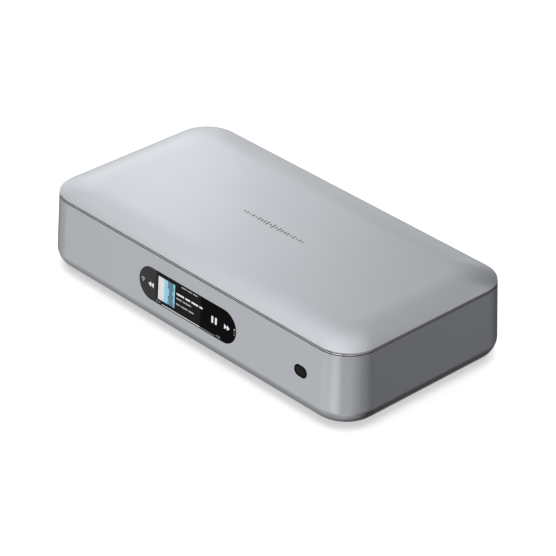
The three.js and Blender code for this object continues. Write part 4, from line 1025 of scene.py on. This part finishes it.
def lit(name, light, dark):
    """A finish for what shines through the glass."""
    glowing = surface(name, light, dark, (0.05, 0.08), grain=900, relief=0.0002, Specular_IOR_Level=0.05)
    tree = glowing.node_tree
    shader = tree.nodes["Principled BSDF"]
    colour = shader.inputs["Base Color"].links[0].from_socket
    tree.links.new(colour, shader.inputs["Emission Color"])
    tree.links.remove(shader.inputs["Base Color"].links[0])
    shader.inputs["Base Color"].default_value = tint(12, 12, 13)
    shader.inputs["Emission Strength"].default_value = 1
    return glowing


bright = bmesh.new()
for left, right in ((-11.4, -3.4), (-2.2, 3.1), (4.3, 11.4), (12.6, 16)):
    bar(bright, left, right, 3.7, 1.35)
for left in (25.4, 29.1):
    bar(bright, left, left + 1.9, -0.05, 5.5)
for base in (38.6, 41.4):
    triangle(bright, base + 2.8, base, 0, 2.1)
for base in (-38.4, -35.6):
    triangle(bright, base - 2.8, base, -0.8, 2.1)
bar(bright, -26.3, 13.9, -11.9, 0.6)
post(bright, 0.5, print_low, print_high, (49, 1.8), 16)
marks = made("interface_bright", bright, front)
belongs(marks, lit("lit_white", tint(240, 241, 243), tint(228, 229, 232)))

dim = bmesh.new()
for radius in (1.1, 2.0, 2.9):
    arc(dim, radius - 0.28, radius + 0.28, 48, 132, (-46.9, -1.4))
post(dim, 0.5, print_low, print_high, (-46.9, -1.3), 16)
for left, right in ((-6.5, -1.2), (-0.2, 4.4), (5.4, 10.3)):
    bar(dim, left, right, 10.9, 1.0)
for left, right in ((-11.5, -5.6), (-4.6, 4)):
    bar(dim, left, right, 0, 1.2)
for left, right in ((-11.6, -7.4), (-6.4, 0.6), (1.6, 7.1)):
    bar(dim, left, right, -4.5, 1.2)
bar(dim, 14.1, 29.5, -11.9, 0.35)
for y in (-0.25, -2.3):
    post(dim, 0.45, print_low, print_high, (49, y), 16)
number(dim, "2:47", -32.1, -11.2)
number(dim, "4:05", 30.9, -11.2)
marks = made("interface_dim", dim, front)
belongs(marks, lit("lit_grey", tint(168, 170, 173), tint(156, 158, 161)))

picture = block("interface_picture", front, 0, 17.5, 18.6, 0.3, print_low, print_high, 3, (-21.95, 0.4))
cover_art = lit("cover_art", tint(226, 226, 226), tint(214, 214, 215))
tree = cover_art.node_tree
shader = tree.nodes["Principled BSDF"]
where = add(tree, "TexCoord").outputs["Object"]
cloud = add(tree, "TexNoise", {"Vector": where, "Scale": 330, "Detail": 3})
split = add(tree, "SeparateXYZ", {0: where}).outputs
wander = maths(tree, "MULTIPLY_ADD", cloud.outputs["Fac"], 0.007, split["X"])
pale = shader.inputs["Emission Color"].links[0].from_socket
pale_blue, slate = tint(146, 204, 226), tint(92, 126, 140)
soft = 0.0003
for start, colour in ((-0.0208, pale_blue), (-0.0167, slate), (-0.0113, pale_blue)):
    values = {"Value": wander, "From Min": start, "From Max": start + soft}
    step = add(tree, "MapRange", values, interpolation_type="SMOOTHSTEP")
    pale = blended(tree, step.outputs["Result"], pale, colour)
tree.links.new(pale, shader.inputs["Emission Color"])
belongs(picture, cover_art)

# ---------------- Remote receiver
# A small dark window for the remote control, slightly domed, with a lip behind the wall, and the
# receiver on a board of its own behind it.

finished("ir_board", circuit_board, 0.1)


def window_loop(bm, inset, z):
    width, height = receiver_width - 2 * inset, receiver_height - 2 * inset
    return level(bm, width, height, height / 2 - 0.01, z, 14)


bm = bmesh.new()
section = [(-1.4, -4.5), (-1.4, -3.3), (0, -3.3), (0, -0.75)]
for step in range(1, 9):
    share = step / 9
    section.append((3.9 * share ** 1.5, -0.1 - 0.65 * (1 - share) ** 2.5))
skin(bm, [window_loop(bm, inset, z) for inset, z in section], closed=False)
window = made("receiver_window", bm, front @ Matrix.Translation((receiver_x, 0, 0)), crease=50)
smoked = surface(
    "smoked_window", tint(26, 26, 28), tint(18, 18, 20), (0.06, 0.12),
    grain=900, relief=0.0005, Specular_IOR_Level=0.1,
)
belongs(window, smoked, "ir_window")

# ---------------- Trim ring
# A rolled aluminium ring between wall and cover, polished on its outer face, with a dark shadow gap
# under and over it. Its leg locates inside the wall and its flange carries the cover.

low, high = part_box("trim_ring")
ring_top, ring_leg_low = high.z / mm, low.z / mm
ring_low, ring_inset, ring_chamfer = rim_z + 0.4, 0.3, 0.15
lip_low, lip_top, lip_back = ring_low + 0.1, ring_top - 0.1, 0.9
leg_inset, flange_inset = wall + 0.3, ring_inset + 6.2
bm = bmesh.new()
section = [
    (leg_inset, ring_leg_low), (leg_inset, ring_low), (lip_back, ring_low), (lip_back, lip_low),
    (ring_inset + ring_chamfer, lip_low), (ring_inset, lip_low + ring_chamfer),
    (ring_inset, lip_top - ring_chamfer), (ring_inset + ring_chamfer, lip_top), (lip_back, lip_top),
    (lip_back, ring_top), (flange_inset, ring_top), (flange_inset, ring_low),
    (leg_inset + 1.6, ring_low), (leg_inset + 1.6, ring_leg_low),
]
skin(bm, [case_loop(bm, inset, z) for inset, z in section])
ring = made("polished_ring", bm, crease=20)
polished_aluminium = surface(
    "polished_aluminium", tint(252, 249, 243), tint(246, 244, 239), (0.07, 0.12),
    metallic=1.0, grain=2000, relief=0.0005,
)
belongs(ring, polished_aluminium, "trim_ring")

# ---------------- Painted shade in the seams
# Two thin near-black strips in a loop round the ring, one in the gap under it and one in the gap over it.
# They stop the gaps a little way in, and are painted shade: they make the gaps look dark where there is only
# shadow.

# painted shade: a near-black, dull surface that darkens the seam gaps
painted_gap_shade = surface(
    "painted_gap_shade", tint(26, 26, 27), tint(18, 18, 19), (0.8, 0.95), grain=1400, relief=0.02,
)
for name, low, high, reach in (
    ("lower_gap_shade_strip", rim_z + 0.02, ring_low - 0.02, leg_inset - 0.1),
    ("upper_gap_shade_strip", ring_top + 0.02, ring_top + 0.38, flange_inset - 0.1),
):
    bm = bmesh.new()
    section = [(0.95, low), (0.95, high), (reach, high), (reach, low)]
    skin(bm, [case_loop(bm, inset, z) for inset, z in section])
    belongs(made(name, bm), painted_gap_shade)

# ---------------- Top cover
# A pressed aluminium lid: a flat middle that falls away in a soft border to a thin edge above the ring.
# Its skirt drops inside the ring, and four columns take the through screws.

cover_low, cover_top = ring_top + 0.4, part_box("top_cover")[1].z / mm
cover_inset, cover_edge, cover_thick, border = 0.25, 0.5, 2.4, 28.5
crown_low = cover_low + cover_edge
crown_rise = cover_top - crown_low
plateau_radius, crown_power = 17, 2.2
skirt_inset, skirt_thick, skirt_low = ring_inset + 6.5, 1.6, rim_z - 3


def crown_loop(bm, share, set_in, down=0):
    """A level of the crowned border, from its edge (share 0) to the flat middle (share 1)."""
    inset = set_in + share * (cover_inset + border - set_in)
    height = crown_rise * (1 - (1 - share) ** crown_power)
    corner = (rim_radius - set_in) * (1 - share) + plateau_radius * share
    return case_loop(bm, inset, crown_low + height - down, corner)


bm = bmesh.new()
loops = [crown_loop(bm, share, skirt_inset + skirt_thick, cover_thick) for share in (1, 0.8, 0.6, 0.4, 0.2)]
loops += [
    case_loop(bm, inset, z) for inset, z in (
        (skirt_inset + skirt_thick, cover_low - 0.3), (skirt_inset + skirt_thick, skirt_low),
        (skirt_inset, skirt_low), (skirt_inset, cover_low), (cover_inset + 0.1, cover_low),
        (cover_inset, cover_low + 0.1), (cover_inset, cover_low + 0.2),
    )
]
for step in range(1, 4):
    a = step / 4 * math.pi / 2
    loops.append(case_loop(bm, cover_inset + 0.25 * (1 - math.cos(a)), cover_low + 0.2 + 0.3 * math.sin(a)))
loops += [crown_loop(bm, (step / 28) ** 1.15, cover_inset + 0.25) for step in range(29)]
skin(bm, loops, closed=False)
cover = made("crowned_cover", bm, crease=40)


def columns(bm):
    for at in four(column_x, column_y):
        post(bm, 3.5, plate_low + 10.3, cover_low + crown_rise / 2, at)


shaped(cover, "UNION", columns)
belongs(cover, satin_aluminium, "top_cover")

# ---------------- Mark on the cover
# A row of fine upright bars, like a trace of sound, laser etched in the middle of the cover.

bm = bmesh.new()
for k in range(-10, 11):
    length = 1.2 + 4.6 * abs(math.cos(1.35 * k)) * (1 - abs(k) / 14)
    pill(bm, 1.3, length, -0.02, 0.02, 5, (3 * k, 0))
mark = made("etched_mark", bm, Matrix.Translation((0, 0, cover_top)))
etched = surface(
    "etched_grey", tint(122, 124, 128), tint(110, 112, 116), (0.45, 0.6), metallic=0.7, relief=0.002,
)
belongs(mark, etched)

# ---------------- Screws
# Black zinc plated steel with pan heads and six-lobed recesses: four come up through the base plate into
# the columns of the cover, and two hold the rear bay to the base plate.

black_screw = surface(
    "black_screw", tint(46, 46, 49), tint(34, 34, 36), (0.28, 0.4), metallic=0.8, grain=1800, relief=0.004,
)


def screwed(name, node, place, length):
    """A screw with its head above the local XY plane and its thread below."""
    turns = int((length - 3.4) / 0.35)
    ridges = [(1.3 - 0.2 * (k % 2), 2.4 - length + 0.35 * k) for k in range(turns)]
    bm = bmesh.new()
    spun(bm, [
        (0, 1.6 - length), (0.6, 1.7 - length), (1.1, 2.2 - length), *ridges, (1.3, -0.6), (1.3, 0),
        (2.7, 0), (2.8, 0.1), (2.8, 0.8), (2.7, 1.15), (2.4, 1.4), (1.9, 1.55), (1.3, 1.6), (0, 1.6),
    ], 32)
    piece = made(name, bm, place, crease=40)

    def recess(bm):
        skin(bm, [fluted(bm, 1.3, 0.35, height, 6, 6) for height in (0.7, 2)], closed=False)

    shaped(piece, "DIFFERENCE", recess, place)
    belongs(piece, black_screw, node)


for k in range(1, 5):
    node = f"base_screw_{k}"
    low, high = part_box(node)
    middle = middle_of(node)
    head_up = Matrix.Translation((middle.x, middle.y, low.z / mm + 1.6)) @ Matrix.Rotation(math.pi, 4, "X")
    screwed(f"through_screw_{k}", node, head_up, size_of(node).z)
for k in (1, 2):
    node = f"rear_screw_{k}"
    place = from_behind(middle_of(node).x, middle_of(node).z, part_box(node)[1].y / mm - 1.6)
    screwed(f"bay_screw_{k}", node, place, size_of(node).y)
